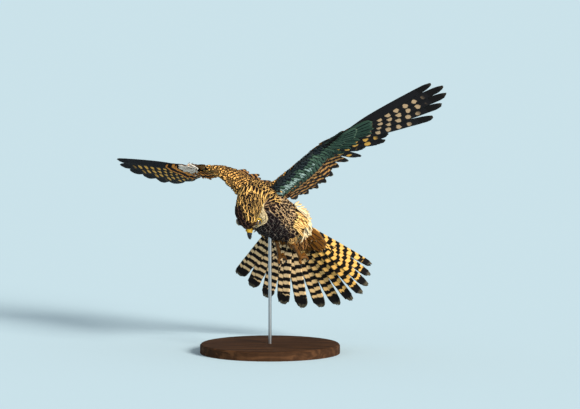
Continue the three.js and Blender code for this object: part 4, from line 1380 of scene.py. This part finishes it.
# %% One row of coverts
def covert_row(wing, face, feathers, out, length, width, tones, lift):
    """One row on the upper (face 1) or lower (face -1) side, out from the feathers' roots."""
    k = np.asarray(feathers)
    scale = np.clip(wing["length"][k] / 110, 0.75, 1.15)
    ground, mark, bars, bar_width, streak, fringe = tones
    count = len(k)
    upper = wing["upper"][k] * face
    shade = random.uniform(0.88, 1.1, (count, 1))
    direction = unit(wing["direction"][k])
    root = wing["root"][k] + wing["direction"][k] * (out * scale)[:, None]
    place = locate(root + upper * 4)
    return flock(
        root=root, direction=direction, across=wing["across"][k], upper=upper,
        length=length * scale * random.uniform(0.94, 1.06, count), width=width, web=0.42,
        sweep=0.04, roll=-0.05 * face, thick=0.4, arch=0.05, lift=lift, rise=0.6, quill=0.6,
        tip=0.3, ragged=0.08, ground=with_alpha(np.tile(ground, (count, 1)) * shade, NO_BAND),
        mark=with_alpha(np.tile(mark, (count, 1)), fringe),
        style=with_alpha(np.tile((bars, bar_width, 0.0), (count, 1)), streak),
        patch=unwrapped(place))


def joined(flocks):
    """One flock of several."""
    return {key: np.concatenate([birds[key] for birds in flocks]) for key in flocks[0]}

# %% The table of the rows
HAND_ROWS, ARM_ROWS = range(1, PRIMARIES), range(PRIMARIES, REMIGES)
# ground, mark, bars, bar width, streak, fringe
UPPER_GREATER = (colour(222, 144, 60), INK, 2.9, 0.46, 0.0, 0.4)
UPPER_MEDIAN = (RUFOUS, INK, 2.4, 0.46, 0.15, 0.1)
HAND_GREATER = (colour(28, 24, 28), colour(222, 144, 66), 2.6, 0.34, 0.0, 0.1)
UNDER_ARM = {"left": (colour(160, 120, 76), SLATE, 2.5, 0.46, 0.0, 0.2), "right": HAND_GREATER}
# Below the nearer wing the rows are dark green as painted shade, as its lining is; the real rows
# are pale buff with spots.
UNDER_HAND = {"left": (colour(54, 76, 64), SLATE, 0.0, 0.0, 0.16, 0.02), "right": HAND_GREATER}
UNDER_MEDIAN = {"left": (LINING_IN_PAINTED_SHADE, SLATE, 0.0, 0.0, 0.22, 0.08), "right": HAND_GREATER}
# face, the flight feathers it covers, distance out, length, width, colours, lift
UPPER_ROWS = [
    (1, ARM_ROWS, 20, 42, 17, UPPER_GREATER, 0.2),
    (1, HAND_ROWS, 10, 46, 14, HAND_GREATER, 0.2),
    (1, ARM_ROWS, 10, 30, 15, UPPER_MEDIAN, 1.1),
    (1, HAND_ROWS, 4, 26, 11, HAND_GREATER, 1.0),
]
UNDER_ROWS = {name: [
    (-1, ARM_ROWS, 18, 40, 16, UNDER_ARM[name], 0.2),
    (-1, HAND_ROWS, 10, 46, 14, UNDER_HAND[name], 0.2),
    (-1, ARM_ROWS, 10, 28, 13, UNDER_MEDIAN[name], 1.0),
    (-1, HAND_ROWS, 4, 26, 11, UNDER_MEDIAN[name], 0.9),
] for name in wings}
print("rows of coverts on a wing", len(UPPER_ROWS) + len(UNDER_ROWS["left"]))

# %% [markdown]
# Two more groups lie on the hand. The alula is three stiff feathers on the thumb, along the
# wing's leading edge. On the further wing, whose wrist faces the light, a tuft of loose pale
# down hides the hand's edge.

# %% Thumb feathers and wrist tuft
THUMB_LIKE, THUMB_FEATHERS, TUFT_FEATHERS = 5, 3, 46


def alula(wing):
    """Three stiff feathers from the wrist, along the hand's leading edge."""
    order = np.arange(THUMB_FEATHERS)
    upper = np.tile(wing["upper"][THUMB_LIKE], (THUMB_FEATHERS, 1))
    hand = np.tile(wing["hand"], (THUMB_FEATHERS, 1))
    back = sideways(wing["direction"][THUMB_LIKE], wing["hand"])
    root = (wing["wrist"] + np.outer(8 - 3 * order, wing["hand"])
            + np.outer(3.0 * order - 3, back))
    direction = unit(hand + np.outer(0.22 + 0.1 * order, back))
    return flock(
        root=root, direction=direction,
        across=sideways(np.tile(back, (THUMB_FEATHERS, 1)), direction), upper=upper,
        length=46 - 8 * order, width=11, web=0.4, sweep=0.05, thick=0.4, arch=0.05,
        lift=1.2 - 0.4 * order, rise=0.4, quill=0.6, tip=0.3, ragged=0.04,
        ground=with_alpha(np.tile(colour(54, 44, 42), (THUMB_FEATHERS, 1)), NO_BAND),
        mark=with_alpha(np.tile(colour(196, 130, 66), (THUMB_FEATHERS, 1)), 0.2),
        style=with_alpha(np.tile((3.0, 0.2, 0.0), (THUMB_FEATHERS, 1)), 0.0),
        patch=unwrapped(locate(root + upper * 3)))


def wrist_tuft(wing):
    """Loose pale down on the lower side, over the hand's leading edge."""
    count = TUFT_FEATHERS
    out, behind = random.uniform(24, 60, count), random.uniform(-5, 5, count)
    back = sideways(wing["direction"][THUMB_LIKE], wing["hand"])
    root = wing["wrist"] + np.outer(out, wing["hand"]) + np.outer(behind, back)
    astray = random.normal(0, 0.35, (count, 1))
    direction = unit(np.tile(wing["hand"], (count, 1)) + astray * back)
    upper = np.tile(unit(-wing["upper"][THUMB_LIKE] - 0.5 * back), (count, 1))
    tone = colour(255, 248, 236) * random.uniform(0.8, 1.05, (count, 1))
    return flock(
        root=root, direction=direction, across=np.cross(upper, direction), upper=upper,
        length=random.uniform(10, 16, count), width=3.4, thick=0.3, arch=0.1, lift=2.2, rise=2.0,
        tip=0.4, ragged=0.14, ground=with_alpha(tone, NO_BAND),
        mark=with_alpha(np.tile(colour(176, 130, 96), (count, 1)), 0.1),
        style=with_alpha(np.zeros((count, 3)), 0.34), patch=unwrapped(locate(root + upper * 3)))

# %% Lay the coverts on the wings
for number, (name, wing) in enumerate(wings.items()):
    rows = [covert_row(wing, *row) for row in UPPER_ROWS]
    rows.append(alula(wing))
    rows += [covert_row(wing, *row) for row in UNDER_ROWS[name]]
    if name == "right":
        rows.append(wrist_tuft(wing))
    piece, _ = feathers_object(f"wing_{name}_coverts", COVERT_VANE, joined(rows), coat_material,
                               settle_over(wing_trees[name]), seed=40 + number)
    wing_pieces[name].append(piece)

# %% [markdown]
# The tail's coverts lie over its root, above and below. Those below are soft, plain and cream,
# painted brown as shade except nearest to the vent, and those above are barred like the back.

# %% Coverts of the tail
TAIL_COVERTS = 10
# The coverts below the tail are cream; their brown away from the vent is painted shade.
UNDER_TAIL_IN_PAINTED_SHADE = colour(110, 70, 26)


def tail_covert_row(face, out, length, width, tones, lift, first, last):
    """One row across the tail's root, from one share of the fan to another."""
    ground, mark, bars, bar_width = tones
    t = np.linspace(first, last, TAIL_COVERTS) + random.uniform(-0.02, 0.02, TAIL_COVERTS)
    direction = unit(through(TAIL_DIRECTIONS, t))
    across = sideways(unit(through(tail["across"], t)), direction)
    upper = -face * np.cross(direction, across)
    origin = through(tail["root"], t)
    shade = random.uniform(0.86, 1.1, (TAIL_COVERTS, 1))
    return flock(
        root=origin + direction * out, direction=direction, across=across, upper=upper,
        length=length * random.uniform(0.88, 1.1, TAIL_COVERTS), width=width, thick=0.3,
        roll=random.uniform(-0.12, 0.12, TAIL_COVERTS),
        arch=0.06, lift=lift, rise=0.8, quill=0.55, tip=0.4, ragged=0.14,
        ground=with_alpha(ground * shade, NO_BAND),
        mark=with_alpha(np.tile(mark, (TAIL_COVERTS, 1)), 0.3),
        style=with_alpha(np.tile((bars, bar_width, 0.0), (TAIL_COVERTS, 1)), 0.18),
        patch=unwrapped(locate(origin + direction * 20 + upper * 4)))


brown_in_painted_shade, plain_cream = (UNDER_TAIL_IN_PAINTED_SHADE, UMBER, 0, 0), (CREAM, UMBER, 0, 0)
barred = (TAWNY, INK, 2.6, 0.4)
# face, distance out, length, width, colours, lift, first and last share of the fan
TAIL_ROWS = [
    (-1, 26, 40, 13, brown_in_painted_shade, 0.4, 0.55, 0.88),
    (-1, 12, 38, 13, brown_in_painted_shade, 1.2, 0.25, 0.90),
    (-1, 4, 30, 12, plain_cream, 2.4, 0.08, 0.92),
    (1, 24, 40, 15, barred, 0.4, 0.08, 0.92),
    (1, 12, 34, 14, barred, 1.4, 0.08, 0.92),
    (1, 2, 28, 13, barred, 2.6, 0.08, 0.92),
]
tail_tree = tree_of(tail_laid, FLIGHT_VANE)
tail_rows = [tail_covert_row(*row) for row in TAIL_ROWS]
tail_coverts, _ = feathers_object("tail_coverts", COVERT_VANE, joined(tail_rows), coat_material,
                                  settle_over(tail_tree), seed=50)

# %% [markdown]
# ## The skin's own finish
# The skin shows only in the gaps between feathers, so it carries the same markings as the coat,
# as a colour on each point: the region's ground darkened by the share of its marks, and darker
# still as painted shade, since it lies under the feathers. Round the eye it is the yellow of the
# bare ring. Its map gives each form the same rectangle as the feathers use, so what is baked
# there has the right colours.

# %% Colour and unwrap the skin
BARE_YELLOW = colour(220, 178, 48)
IN_SHADE, RING_REACH = 0.62, 7.2


def skin_tones():
    """A colour for each vertex of the skin."""
    marked = np.clip(table_of("bar_width") + 0.8 * table_of("streak"), 0, 1)[skin_region, None]
    ground, mark = table_of("ground")[skin_region], table_of("mark")[skin_region]
    tones = (ground * (1 - marked) + mark * marked) * IN_SHADE
    near_eye = np.min([np.linalg.norm(skin_points - eye_centre(side), axis=1)
                       for side in (1, -1)], axis=0)
    tones[near_eye < RING_REACH] = BARE_YELLOW
    return tones


def unwrap_skin():
    """The map of the skin, with each face wholly on one form's rectangle."""
    corners = np.array(skin_faces)
    centre = skin_points[corners].mean(axis=1)
    middle = locate(centre)
    spread = np.zeros(corners.shape + (2,))
    for number, form in enumerate(FORMS.values()):
        here = middle["form"] == number
        _, share, turn = place_on(form, skin_points[corners[here]].reshape(-1, 3))
        seam = np.repeat(middle["turn"][here], 4)
        turn = seam + (turn - seam + math.pi) % (2 * math.pi) - math.pi
        place = {"form": np.full(len(turn), number), "along": share, "turn": turn}
        spread[here] = unwrapped(place).reshape(-1, 4, 2)
    return spread


def finish_skin():
    """Gives the skin its colours, its map and its material, and stands it up."""
    layer = skin_mesh.attributes.new("coat", "FLOAT_COLOR", "POINT")
    layer.data.foreach_set("color", with_alpha(skin_tones(), 1.0).astype(np.float32).ravel())
    bake = skin_mesh.uv_layers.new(name="OFBake")
    bake.data.foreach_set("uv", unwrap_skin().astype(np.float32).ravel())
    skin_mesh.transform(STOOD)
    skin_mesh.update()
    material, shader = new_material("skin under the coat", 0.8, Specular_IOR_Level=0.2)
    place = output_of(material, "ShaderNodeTexCoord", "Object")
    tone = output_of(material, "ShaderNodeAttribute", "Color", attribute_name="coat")
    down = noise_of(place, 900)
    finish_with(shader, (down.ramp(0.4, 0.7) * 0.35).mix(tone, BAND), down)
    skin_mesh.materials.clear()
    skin_mesh.materials.append(material)
    skin_mesh.shade_smooth()


finish_skin()
print("skin charts", len(CHARTS))

# %% [markdown]
# ## The head's bare parts
# The eyes are glossy balls, nearly black, that look out and a little ahead. Each has a ring of
# yellow skin with a dark inner rim. A ring is a small circle spun round the line of sight. The
# cere, also yellow, is the soft skin at the root of the bill, with a round nostril on each side.

# %% Rings and distances
EYE_RADIUS, EYE_LOOKS_AHEAD = 6.0, 0.35


def facing(centre, axis):
    """Carries +Z to an axis and the origin to a point."""
    turned = Vector(axis).to_track_quat("Z", "Y").to_matrix().to_4x4()
    return Matrix.Translation(Vector(centre)) @ turned


def spun_ring(bm, major, minor, matrix, steps=40, segments=10):
    """A ring about +Z: a small circle spun all the way round."""
    circle = bmesh.ops.create_circle(bm, segments=segments, radius=minor,
                                     matrix=Matrix.Translation((major, 0, 0))
                                     @ Matrix.Rotation(math.pi / 2, 4, "X"))
    edges = list({edge for vert in circle["verts"] for edge in vert.link_edges})
    before = set(bm.verts)
    bmesh.ops.spin(bm, geom=circle["verts"] + edges, angle=2 * math.pi, steps=steps,
                   axis=(0, 0, 1), cent=(0, 0, 0), use_merge=True)
    ring = [vert for vert in bm.verts if vert not in before] + circle["verts"]
    ring = [vert for vert in set(ring) if vert.is_valid]
    bmesh.ops.transform(bm, matrix=matrix, verts=ring)
    return ring


def with_distance_from(bm, origin, axis):
    """Keeps each vertex's distance from a line, in millimetres, for the material."""
    layer = bm.verts.layers.float.new("from_axis")
    origin, axis = Vector(origin), Vector(axis).normalized()
    for vert in bm.verts:
        offset = vert.co - origin
        vert[layer] = (offset - axis * offset.dot(axis)).length
        if offset.dot(axis) < 0:
            vert[layer] = 2 * EYE_RADIUS

# %% [markdown]
# The eye's material reads how far a point is from the line of sight, and so draws the pupil and
# the dark brown iris round it. The ring's material reads the same distance for its inner rim.

# %% Eyes and their rings
RING_MAJOR, RING_MINOR, RING_OUT = 4.7, 0.5, 3.5
PUPIL, IRIS = colour(6, 5, 6), colour(60, 32, 16)
RING_YELLOW, RING_BROWN = colour(190, 150, 52), colour(136, 100, 34)


def eye_material():
    """A pupil and an iris under a clear wet coat."""
    material, shader = new_material("eye", 0.04, Coat_Weight=1.0, Coat_Roughness=0.02)
    out = output_of(material, "ShaderNodeAttribute", "Fac", attribute_name="from_axis")
    place = output_of(material, "ShaderNodeTexCoord", "Object")
    fleck = noise_of(place, 2200)
    iris = (fleck * 0.6).mix(IRIS, PUPIL)
    finish_with(shader, out.ramp(2.9, 3.3).mix(PUPIL, iris), fleck, strength=0.03)
    return material


def ring_material():
    """Yellow skin with a dark inner rim."""
    material, shader = new_material("eye ring", 0.45, Subsurface_Weight=0.1,
                                    Subsurface_Scale=0.001)
    out = output_of(material, "ShaderNodeAttribute", "Fac", attribute_name="from_axis")
    place = output_of(material, "ShaderNodeTexCoord", "Object")
    grain = noise_of(place, 2600)
    yellow = (grain.ramp(0.35, 0.75) * 0.5).mix(RING_YELLOW, RING_BROWN)
    finish_with(shader, out.ramp(4.5, 4.1).mix(yellow, BAND), grain, strength=0.4)
    return material


eye_finish, ring_finish = eye_material(), ring_material()
eyes, eye_rings = {}, {}
for name, side in (("left", 1), ("right", -1)):
    centre, axis = eye_centre(side), unit(side * HEAD[1] + EYE_LOOKS_AHEAD * HEAD[0])
    bm = bmesh.new()
    bmesh.ops.create_uvsphere(bm, u_segments=32, v_segments=20, radius=EYE_RADIUS,
                              matrix=facing(centre, axis))
    with_distance_from(bm, centre, axis)
    eyes[name] = object_from(bm, f"eye_ball_{name}", STOOD)
    eyes[name].data.materials.append(eye_finish)
    bm = bmesh.new()
    spun_ring(bm, RING_MAJOR, RING_MINOR, facing(centre + axis * RING_OUT, axis))
    bmesh.ops.recalc_face_normals(bm, faces=bm.faces)
    with_distance_from(bm, centre, axis)
    eye_rings[name] = object_from(bm, f"eye_ring_{name}", STOOD)
    eye_rings[name].data.materials.append(ring_finish)
print("faces of an eye", len(eyes["left"].data.polygons))

# %% [markdown]
# Bare skin on the cere and on the legs has small plates. A pattern of cells gives each plate a
# darker line round it, and the line is also a groove in the bump.

# %% The material of bare skin
def bare_skin_material(name, tone, dark, scale, depth=0.0001):
    """Smooth yellow skin with small plates, each set off by a darker line."""
    material, shader = new_material(name, 0.5, Specular_IOR_Level=0.25)
    place = output_of(material, "ShaderNodeTexCoord", "Object")
    cells = place.node("ShaderNodeTexVoronoi", place, feature="DISTANCE_TO_EDGE")
    cells.inputs["Scale"].default_value = scale
    edge = Field(place.tree, cells.outputs["Distance"]).ramp(0.0, 0.16)
    blotch = noise_of(place, 160).ramp(0.35, 0.7)
    mixed = (blotch * 0.45).mix(tone, dark)
    tone_at_edge = (edge * -0.7 + 0.7).mix(mixed, dark)
    finish_with(shader, tone_at_edge, edge, distance=depth, strength=0.6)
    return material

# %% Cere and nostrils
# distance ahead, rise, half width, half depth
CERE_ROWS = [[16.5, -3.2, 5.2, 5.2], [19, -3.2, 5.0, 5.1], [22, -3.1, 4.9, 4.9],
             [25.0, -3.0, 4.2, 4.5], [26.2, -3.0, 3.8, 4.1]]
NOSTRIL_AT, NOSTRIL_RADIUS, RIM_MINOR = (22.6, 4.9, -1.2), 0.95, 0.42
CERE_YELLOW, CERE_BROWN = colour(212, 168, 44), colour(112, 78, 30)
HOLLOW_BROWN, HOLLOW_BLACK = colour(40, 26, 16), colour(14, 10, 9)

bm = bmesh.new()
loft_form(bm, rows_along(HEAD, HEAD_CENTRE, CERE_ROWS, 12, 0))
nostrils = bmesh.new()
for side in (1, -1):
    ahead, out, rise = NOSTRIL_AT
    at = along(HEAD, HEAD_CENTRE, ahead, side * out, rise)
    outward = unit(side * HEAD[1] + 0.25 * HEAD[0])
    spun_ring(bm, NOSTRIL_RADIUS + 0.3, RIM_MINOR, facing(at, outward), steps=20, segments=8)
    bmesh.ops.create_uvsphere(nostrils, u_segments=14, v_segments=10, radius=NOSTRIL_RADIUS,
                              matrix=facing(at, outward) @ Matrix.Diagonal((1, 1, 0.4, 1)))
bmesh.ops.recalc_face_normals(bm, faces=bm.faces)
cere = object_from(bm, "cere_skin", STOOD)
cere.data.materials.append(bare_skin_material("cere", CERE_YELLOW, CERE_BROWN, 1500))
nostril = object_from(nostrils, "nostril_hollows", STOOD)
dark_hollow, shader = new_material("nostril", 0.7, Specular_IOR_Level=0.2)
hollow_noise = noise_of(output_of(dark_hollow, "ShaderNodeTexCoord", "Object"), 2500)
finish_with(shader, hollow_noise.mix(HOLLOW_BROWN, HOLLOW_BLACK), hollow_noise)
nostril.data.materials.append(dark_hollow)
print("cere faces", len(cere.data.polygons))

# %% [markdown]
# ## Bill and claws
# Both are horn: pale blue-grey at the root and black at the tip. Their rings stand square to a
# curved path and shrink along it. A falcon's upper bill ends in a hook, with a small tooth on
# each cutting edge behind it. The horn material reads how far along each vertex is.

# %% Horn along a path
HORN_PALE, HORN_BLACK = colour(34, 37, 46), colour(5, 5, 7)
FINEST = 0.12


def path_form(path, across, sizes, count):
    """Rings square to a smooth path through a few points, in the bird's frame."""
    t = np.linspace(0, 1, count)
    centres = through(path, t)
    tangent = unit(np.gradient(centres, axis=0))
    side = sideways(np.broadcast_to(across, tangent.shape), tangent)
    sizes = np.maximum(through(sizes, t), FINEST)
    return {"centre": centres, "across": side, "upward": np.cross(tangent, side), "size": sizes}


def loft_along(bm, form, points=18):
    """Lofts the form, and keeps 0 at its first ring to 1 at its last on each vertex."""
    layer = bm.verts.layers.float.get("along") or bm.verts.layers.float.new("along")
    before = len(bm.verts)
    loft_form(bm, form, points)
    bm.verts.ensure_lookup_table()
    rings = len(form["centre"])
    for number, vert in enumerate(bm.verts[before:]):
        vert[layer] = (number // points) / (rings - 1)


def horn_material(name, pale_until, black_from):
    """Horn that is pale up to one share of its length and black from another."""
    material, shader = new_material(name, 0.30, Specular_IOR_Level=0.3)
    reach = output_of(material, "ShaderNodeAttribute", "Fac", attribute_name="along")
    place = output_of(material, "ShaderNodeTexCoord", "Object")
    growth = noise_of(place, 700)
    tone = (reach + growth * 0.2 - 0.1).ramp(pale_until, black_from).mix(HORN_PALE, HORN_BLACK)
    finish_with(shader, tone, growth, distance=0.0001, strength=0.3)
    return material

# %% The bill
# distance ahead and rise in the head's frame, and the two half sizes at each place
UPPER_BILL = [(25.6, -2.4), (29.0, -2.7), (32.0, -4.2), (33.7, -6.6), (34.2, -9.4)]
UPPER_SIZES = [(3.8, 3.8), (3.3, 3.6), (2.5, 2.9), (1.55, 1.8), (0.3, 0.35)]
LOWER_BILL = [(25.4, -6.9), (28.5, -7.2), (31.2, -7.7)]
LOWER_SIZES = [(2.7, 1.0), (2.3, 1.0), (1.0, 0.5)]
TOOTH_AT, TOOTH_SHARE = (31.6, 1.9, -6.9), 0.6


def bill_path(places):
    return [along(HEAD, HEAD_CENTRE, ahead, 0, rise) for ahead, rise in places]


def add_tooth(bm, side):
    """One of the two small teeth of a falcon's upper bill."""
    ahead, out, rise = TOOTH_AT
    at = along(HEAD, HEAD_CENTRE, ahead, side * out, rise)
    tooth = bmesh.ops.create_cone(bm, cap_ends=True, segments=10, radius1=1.0, radius2=0.15,
                                  depth=2.0, matrix=facing(at, -HEAD[2]))
    layer = bm.verts.layers.float.get("along")
    for vert in tooth["verts"]:
        vert[layer] = TOOTH_SHARE


bm = bmesh.new()
loft_along(bm, path_form(bill_path(UPPER_BILL), HEAD[1], UPPER_SIZES, 20))
for side in (1, -1):
    add_tooth(bm, side)
bmesh.ops.recalc_face_normals(bm, faces=bm.faces)
bill_horn = horn_material("bill horn", 0.0, 0.45)
bill_upper = object_from(bm, "bill_upper_horn", STOOD)
bill_upper.data.materials.append(bill_horn)
bm = bmesh.new()
loft_along(bm, path_form(bill_path(LOWER_BILL), HEAD[1], LOWER_SIZES, 12))
bmesh.ops.recalc_face_normals(bm, faces=bm.faces)
bill_lower = object_from(bm, "bill_lower_horn", STOOD)
bill_lower.data.materials.append(bill_horn)
print("bill faces", len(bill_upper.data.polygons) + len(bill_lower.data.polygons))

# %% [markdown]
# ## Legs and feet
# A kestrel's shank is bare below the heel, with a row of broad scutes down the front, and each
# toe has round pads below. The foot is half closed, as it hangs in flight. Shank, ball and toes
# are lofted and then melted into one skin by a fine voxel remesh, as the body was.

# %% Sizes of the foot
TARSUS_LENGTH, TARSUS_RADIUS, TOE_RADIUS, BALL_RADIUS, CLAW_LENGTH = 36, 2.9, 2.5, 3.9, 9
TARSUS_SHAPE, TARSUS_FLAT, INTO_THIGH = [1.2, 1.0, 1.15], 0.92, 5
SCUTES, SCUTE_RISE, PADS, PAD_RISE = 15, 0.07, 3, 0.16
TOE_RINGS, TOE_THINS, TOE_FLAT = 24, 0.18, 0.94
FOOT_VOXEL, FOOT_MELT_ROUNDS = 0.42, 2
# name: turn about the shank in degrees, length
TOES = {"1_hind": (180, 11), "2_inner": (-55, 14), "3_middle": (0, 18), "4_outer": (55, 14)}
print("a middle toe with its claw", TOES["3_middle"][1] + CLAW_LENGTH, "mm")

# %% Where the toes go
def ankle_of(leg):
    """The end of the bare shank, where the toes part."""
    _, heel, shank = leg
    return np.array(heel) + unit(shank) * TARSUS_LENGTH


def toe_points(leg, turn, length):
    """Ankle, knuckle and end of a toe, the bow and point of its claw, and the way it spreads."""
    side, _, shank = leg
    shank = unit(shank)
    outward = sideways(side * BODY[1], shank)
    ahead = unit(np.cross(outward, shank)) * side
    spread = ahead * math.cos(math.radians(turn)) + outward * math.sin(math.radians(turn))
    end = (length * 0.8, length * 0.55)
    steps = [(0, 0), (length * 0.3, length * 0.5), end, (end[0] + CLAW_LENGTH * 0.5, end[1]),
             (end[0] + CLAW_LENGTH * 0.75, end[1] - CLAW_LENGTH * 0.4)]
    return [ankle_of(leg) + shank * down + spread * out for down, out in steps], spread


def shank_form(leg):
    """The bare shank from inside the thigh to the ankle, with a step at each scute."""
    _, heel, shank = leg
    shank, count = unit(shank), SCUTES * 4
    t = np.linspace(0, 1, count)
    radii = TARSUS_RADIUS * through(TARSUS_SHAPE, t)
    stepped = 1 + SCUTE_RISE * (1 - (t * SCUTES) % 1)
    start = np.array(heel) - shank * INTO_THIGH
    across = sideways(BODY[1], shank)
    return {"centre": start + np.outer(t, ankle_of(leg) - start),
            "across": np.tile(across, (count, 1)),
            "upward": np.tile(np.cross(shank, across), (count, 1)),
            "size": np.stack([radii * TARSUS_FLAT * stepped, radii * stepped], axis=1)}


def toe_form(points, across):
    """A toe from the ankle to the root of its claw, with pads along it."""
    form = path_form(points[:3], across, [(1, 1), (1, 1)], TOE_RINGS)
    t = np.linspace(0, 1, TOE_RINGS)
    padded = 1 + PAD_RISE * np.abs(np.sin(t * math.pi * PADS)) - PAD_RISE / 2
    sizes = TOE_RADIUS * (1 - TOE_THINS * t) * padded
    form["size"] = np.stack([sizes * TOE_FLAT, sizes], axis=1)
    return form

# %% Feet and claws
CLAW_SIZES, CLAW_ROOT = [(1.5, 1.8), (1.15, 1.4), (0.2, 0.2)], 0.35
LEG_GOLD, LEG_BROWN = colour(126, 78, 14), colour(26, 16, 8)


def foot_piece(name, leg):
    """Shank, ball and toes as one skin."""
    bm = bmesh.new()
    loft_form(bm, shank_form(leg), 16)
    bmesh.ops.create_uvsphere(bm, u_segments=20, v_segments=14, radius=BALL_RADIUS,
                              matrix=Matrix.Translation(Vector(ankle_of(leg))))
    for turn, length in TOES.values():
        points, spread = toe_points(leg, turn, length)
        loft_form(bm, toe_form(points, np.cross(unit(leg[2]), spread)), 14)
    bmesh.ops.recalc_face_normals(bm, faces=bm.faces)
    piece = object_from(bm, name)
    mesh = melt_together(piece, FOOT_VOXEL, FOOT_MELT_ROUNDS)
    mesh.transform(STOOD)
    mesh.shade_smooth()
    return piece


def claws_piece(name, leg):
    """The four claws, each from inside its toe over the bow to the point."""
    bm = bmesh.new()
    for turn, length in TOES.values():
        (_, _, end, bow, point), spread = toe_points(leg, turn, length)
        root = end + (end - bow) * CLAW_ROOT
        across = np.cross(unit(leg[2]), spread)
        loft_along(bm, path_form([root, bow, point], across, CLAW_SIZES, 14), 12)
    bmesh.ops.recalc_face_normals(bm, faces=bm.faces)
    return object_from(bm, name, STOOD)


leg_finish = bare_skin_material("leg skin", LEG_GOLD, LEG_BROWN, 620, 0.0002)
claw_finish = horn_material("claw horn", -0.5, 0.35)
feet, claws = {}, {}
for name, leg in LEGS.items():
    feet[name] = foot_piece(f"leg_and_foot_{name}", leg)
    feet[name].data.materials.append(leg_finish)
    claws[name] = claws_piece(f"claws_{name}", leg)
    claws[name].data.materials.append(claw_finish)
    print(name, "foot faces", len(feet[name].data.polygons))

# %% [markdown]
# ## The stand and the floor
# The base and the rod keep their CAD shape, since a turned disc and a round bar are what they
# are. They only get their finish: dark oiled wood with its rings and pores, and steel that is
# brushed round the bar. The floor isn't part of the object.

# %% Stand and floor
WOOD, WOOD_DARK = colour(84, 56, 36), colour(42, 27, 18)
STEEL, STEEL_DARK = colour(196, 198, 200), colour(150, 153, 156)
FLOOR, FLOOR_RADIUS = (0.594, 0.766, 0.864), 60


def wood_material():
    """Rings stretched along the grain, with fine pores between them."""
    material, shader = new_material("oiled wood", 0.75, Specular_IOR_Level=0.05)
    place = output_of(material, "ShaderNodeTexCoord", "Object")
    stretched = place.node("ShaderNodeMapping", place)
    stretched.inputs["Scale"].default_value = (1.0, 9.0, 9.0)
    grain_place = Field(place.tree, stretched.outputs[0])
    rings = grain_place.node("ShaderNodeTexNoise", grain_place)
    rings.inputs["Scale"].default_value = 11
    rings.inputs["Detail"].default_value = 6
    rings.inputs["Distortion"].default_value = 0.8
    ring = (Field(place.tree, rings.outputs[0]) * 14).math("SINE") * 0.5 + 0.5
    pore = noise_of(grain_place, 90, 4)
    tone = (ring * 0.7 + pore.ramp(0.5, 0.75) * 0.3).mix(WOOD, WOOD_DARK)
    finish_with(shader, tone, pore, distance=0.0003, strength=0.25)
    return material


def steel_material():
    """Steel with fine lines brushed round the bar."""
    material, shader = new_material("brushed steel", 0.32, Metallic=1.0)
    place = output_of(material, "ShaderNodeTexCoord", "Object")
    squeezed = place.node("ShaderNodeMapping", place)
    squeezed.inputs["Scale"].default_value = (60, 60, 2600)
    brushed = noise_of(Field(place.tree, squeezed.outputs[0]), 1, 3)
    finish_with(shader, brushed.mix(STEEL_DARK, STEEL), brushed, distance=0.00005, strength=0.3)
    return material


for name, finish in (("stand_base", wood_material()), ("stand_rod", steel_material())):
    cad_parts[name].data.materials.clear()
    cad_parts[name].data.materials.append(finish)

bm = bmesh.new()
bmesh.ops.create_circle(bm, cap_ends=True, segments=96, radius=FLOOR_RADIUS)
floor = object_from(bm, "floor", smooth=False)
floor_finish, shader = new_material("plain floor", 0.95, Specular_IOR_Level=0.0)
shader.inputs["Base Color"].default_value = (*FLOOR, 1)
floor.data.materials.append(floor_finish)

# %% [markdown]
# ## Handing over
# Each piece rides on the one body and stands for the CAD nodes that it replaces, which are
# hidden.

# %% Pieces and what they stand for
def hand_over(piece, slot, *nodes):
    """The piece rides on the body and hides the CAD nodes that it stands for; the slot is not
    used.
    """
    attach(piece, "root")
    if nodes:
        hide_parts(*nodes)


hand_over(skin, "plumage", "trunk", "neck", "head", "thigh_left", "thigh_right",
          "wing_left_upper_arm", "wing_right_upper_arm")
for piece in coat + [tail_coverts]:
    hand_over(piece, "plumage")
hand_over(tail_piece, "tail_feathers", "tail")
for name in wings:
    flight, coverts = wing_pieces[name]
    hand_over(flight, "flight_feathers", f"wing_{name}_hand", f"wing_{name}_forearm")
    hand_over(coverts, "plumage")
    hand_over(eyes[name], "eye", f"eye_{name}")
    hand_over(eye_rings[name], "cere")
    hand_over(feet[name], "leg_skin", f"leg_{name}", f"foot_{name}")
    hand_over(claws[name], "claw", *[f"claw_{name}_{toe}" for toe in TOES])
hand_over(cere, "cere", "cere")
hand_over(nostril, "cere")
hand_over(bill_upper, "bill", "bill_upper")
hand_over(bill_lower, "bill", "bill_lower")
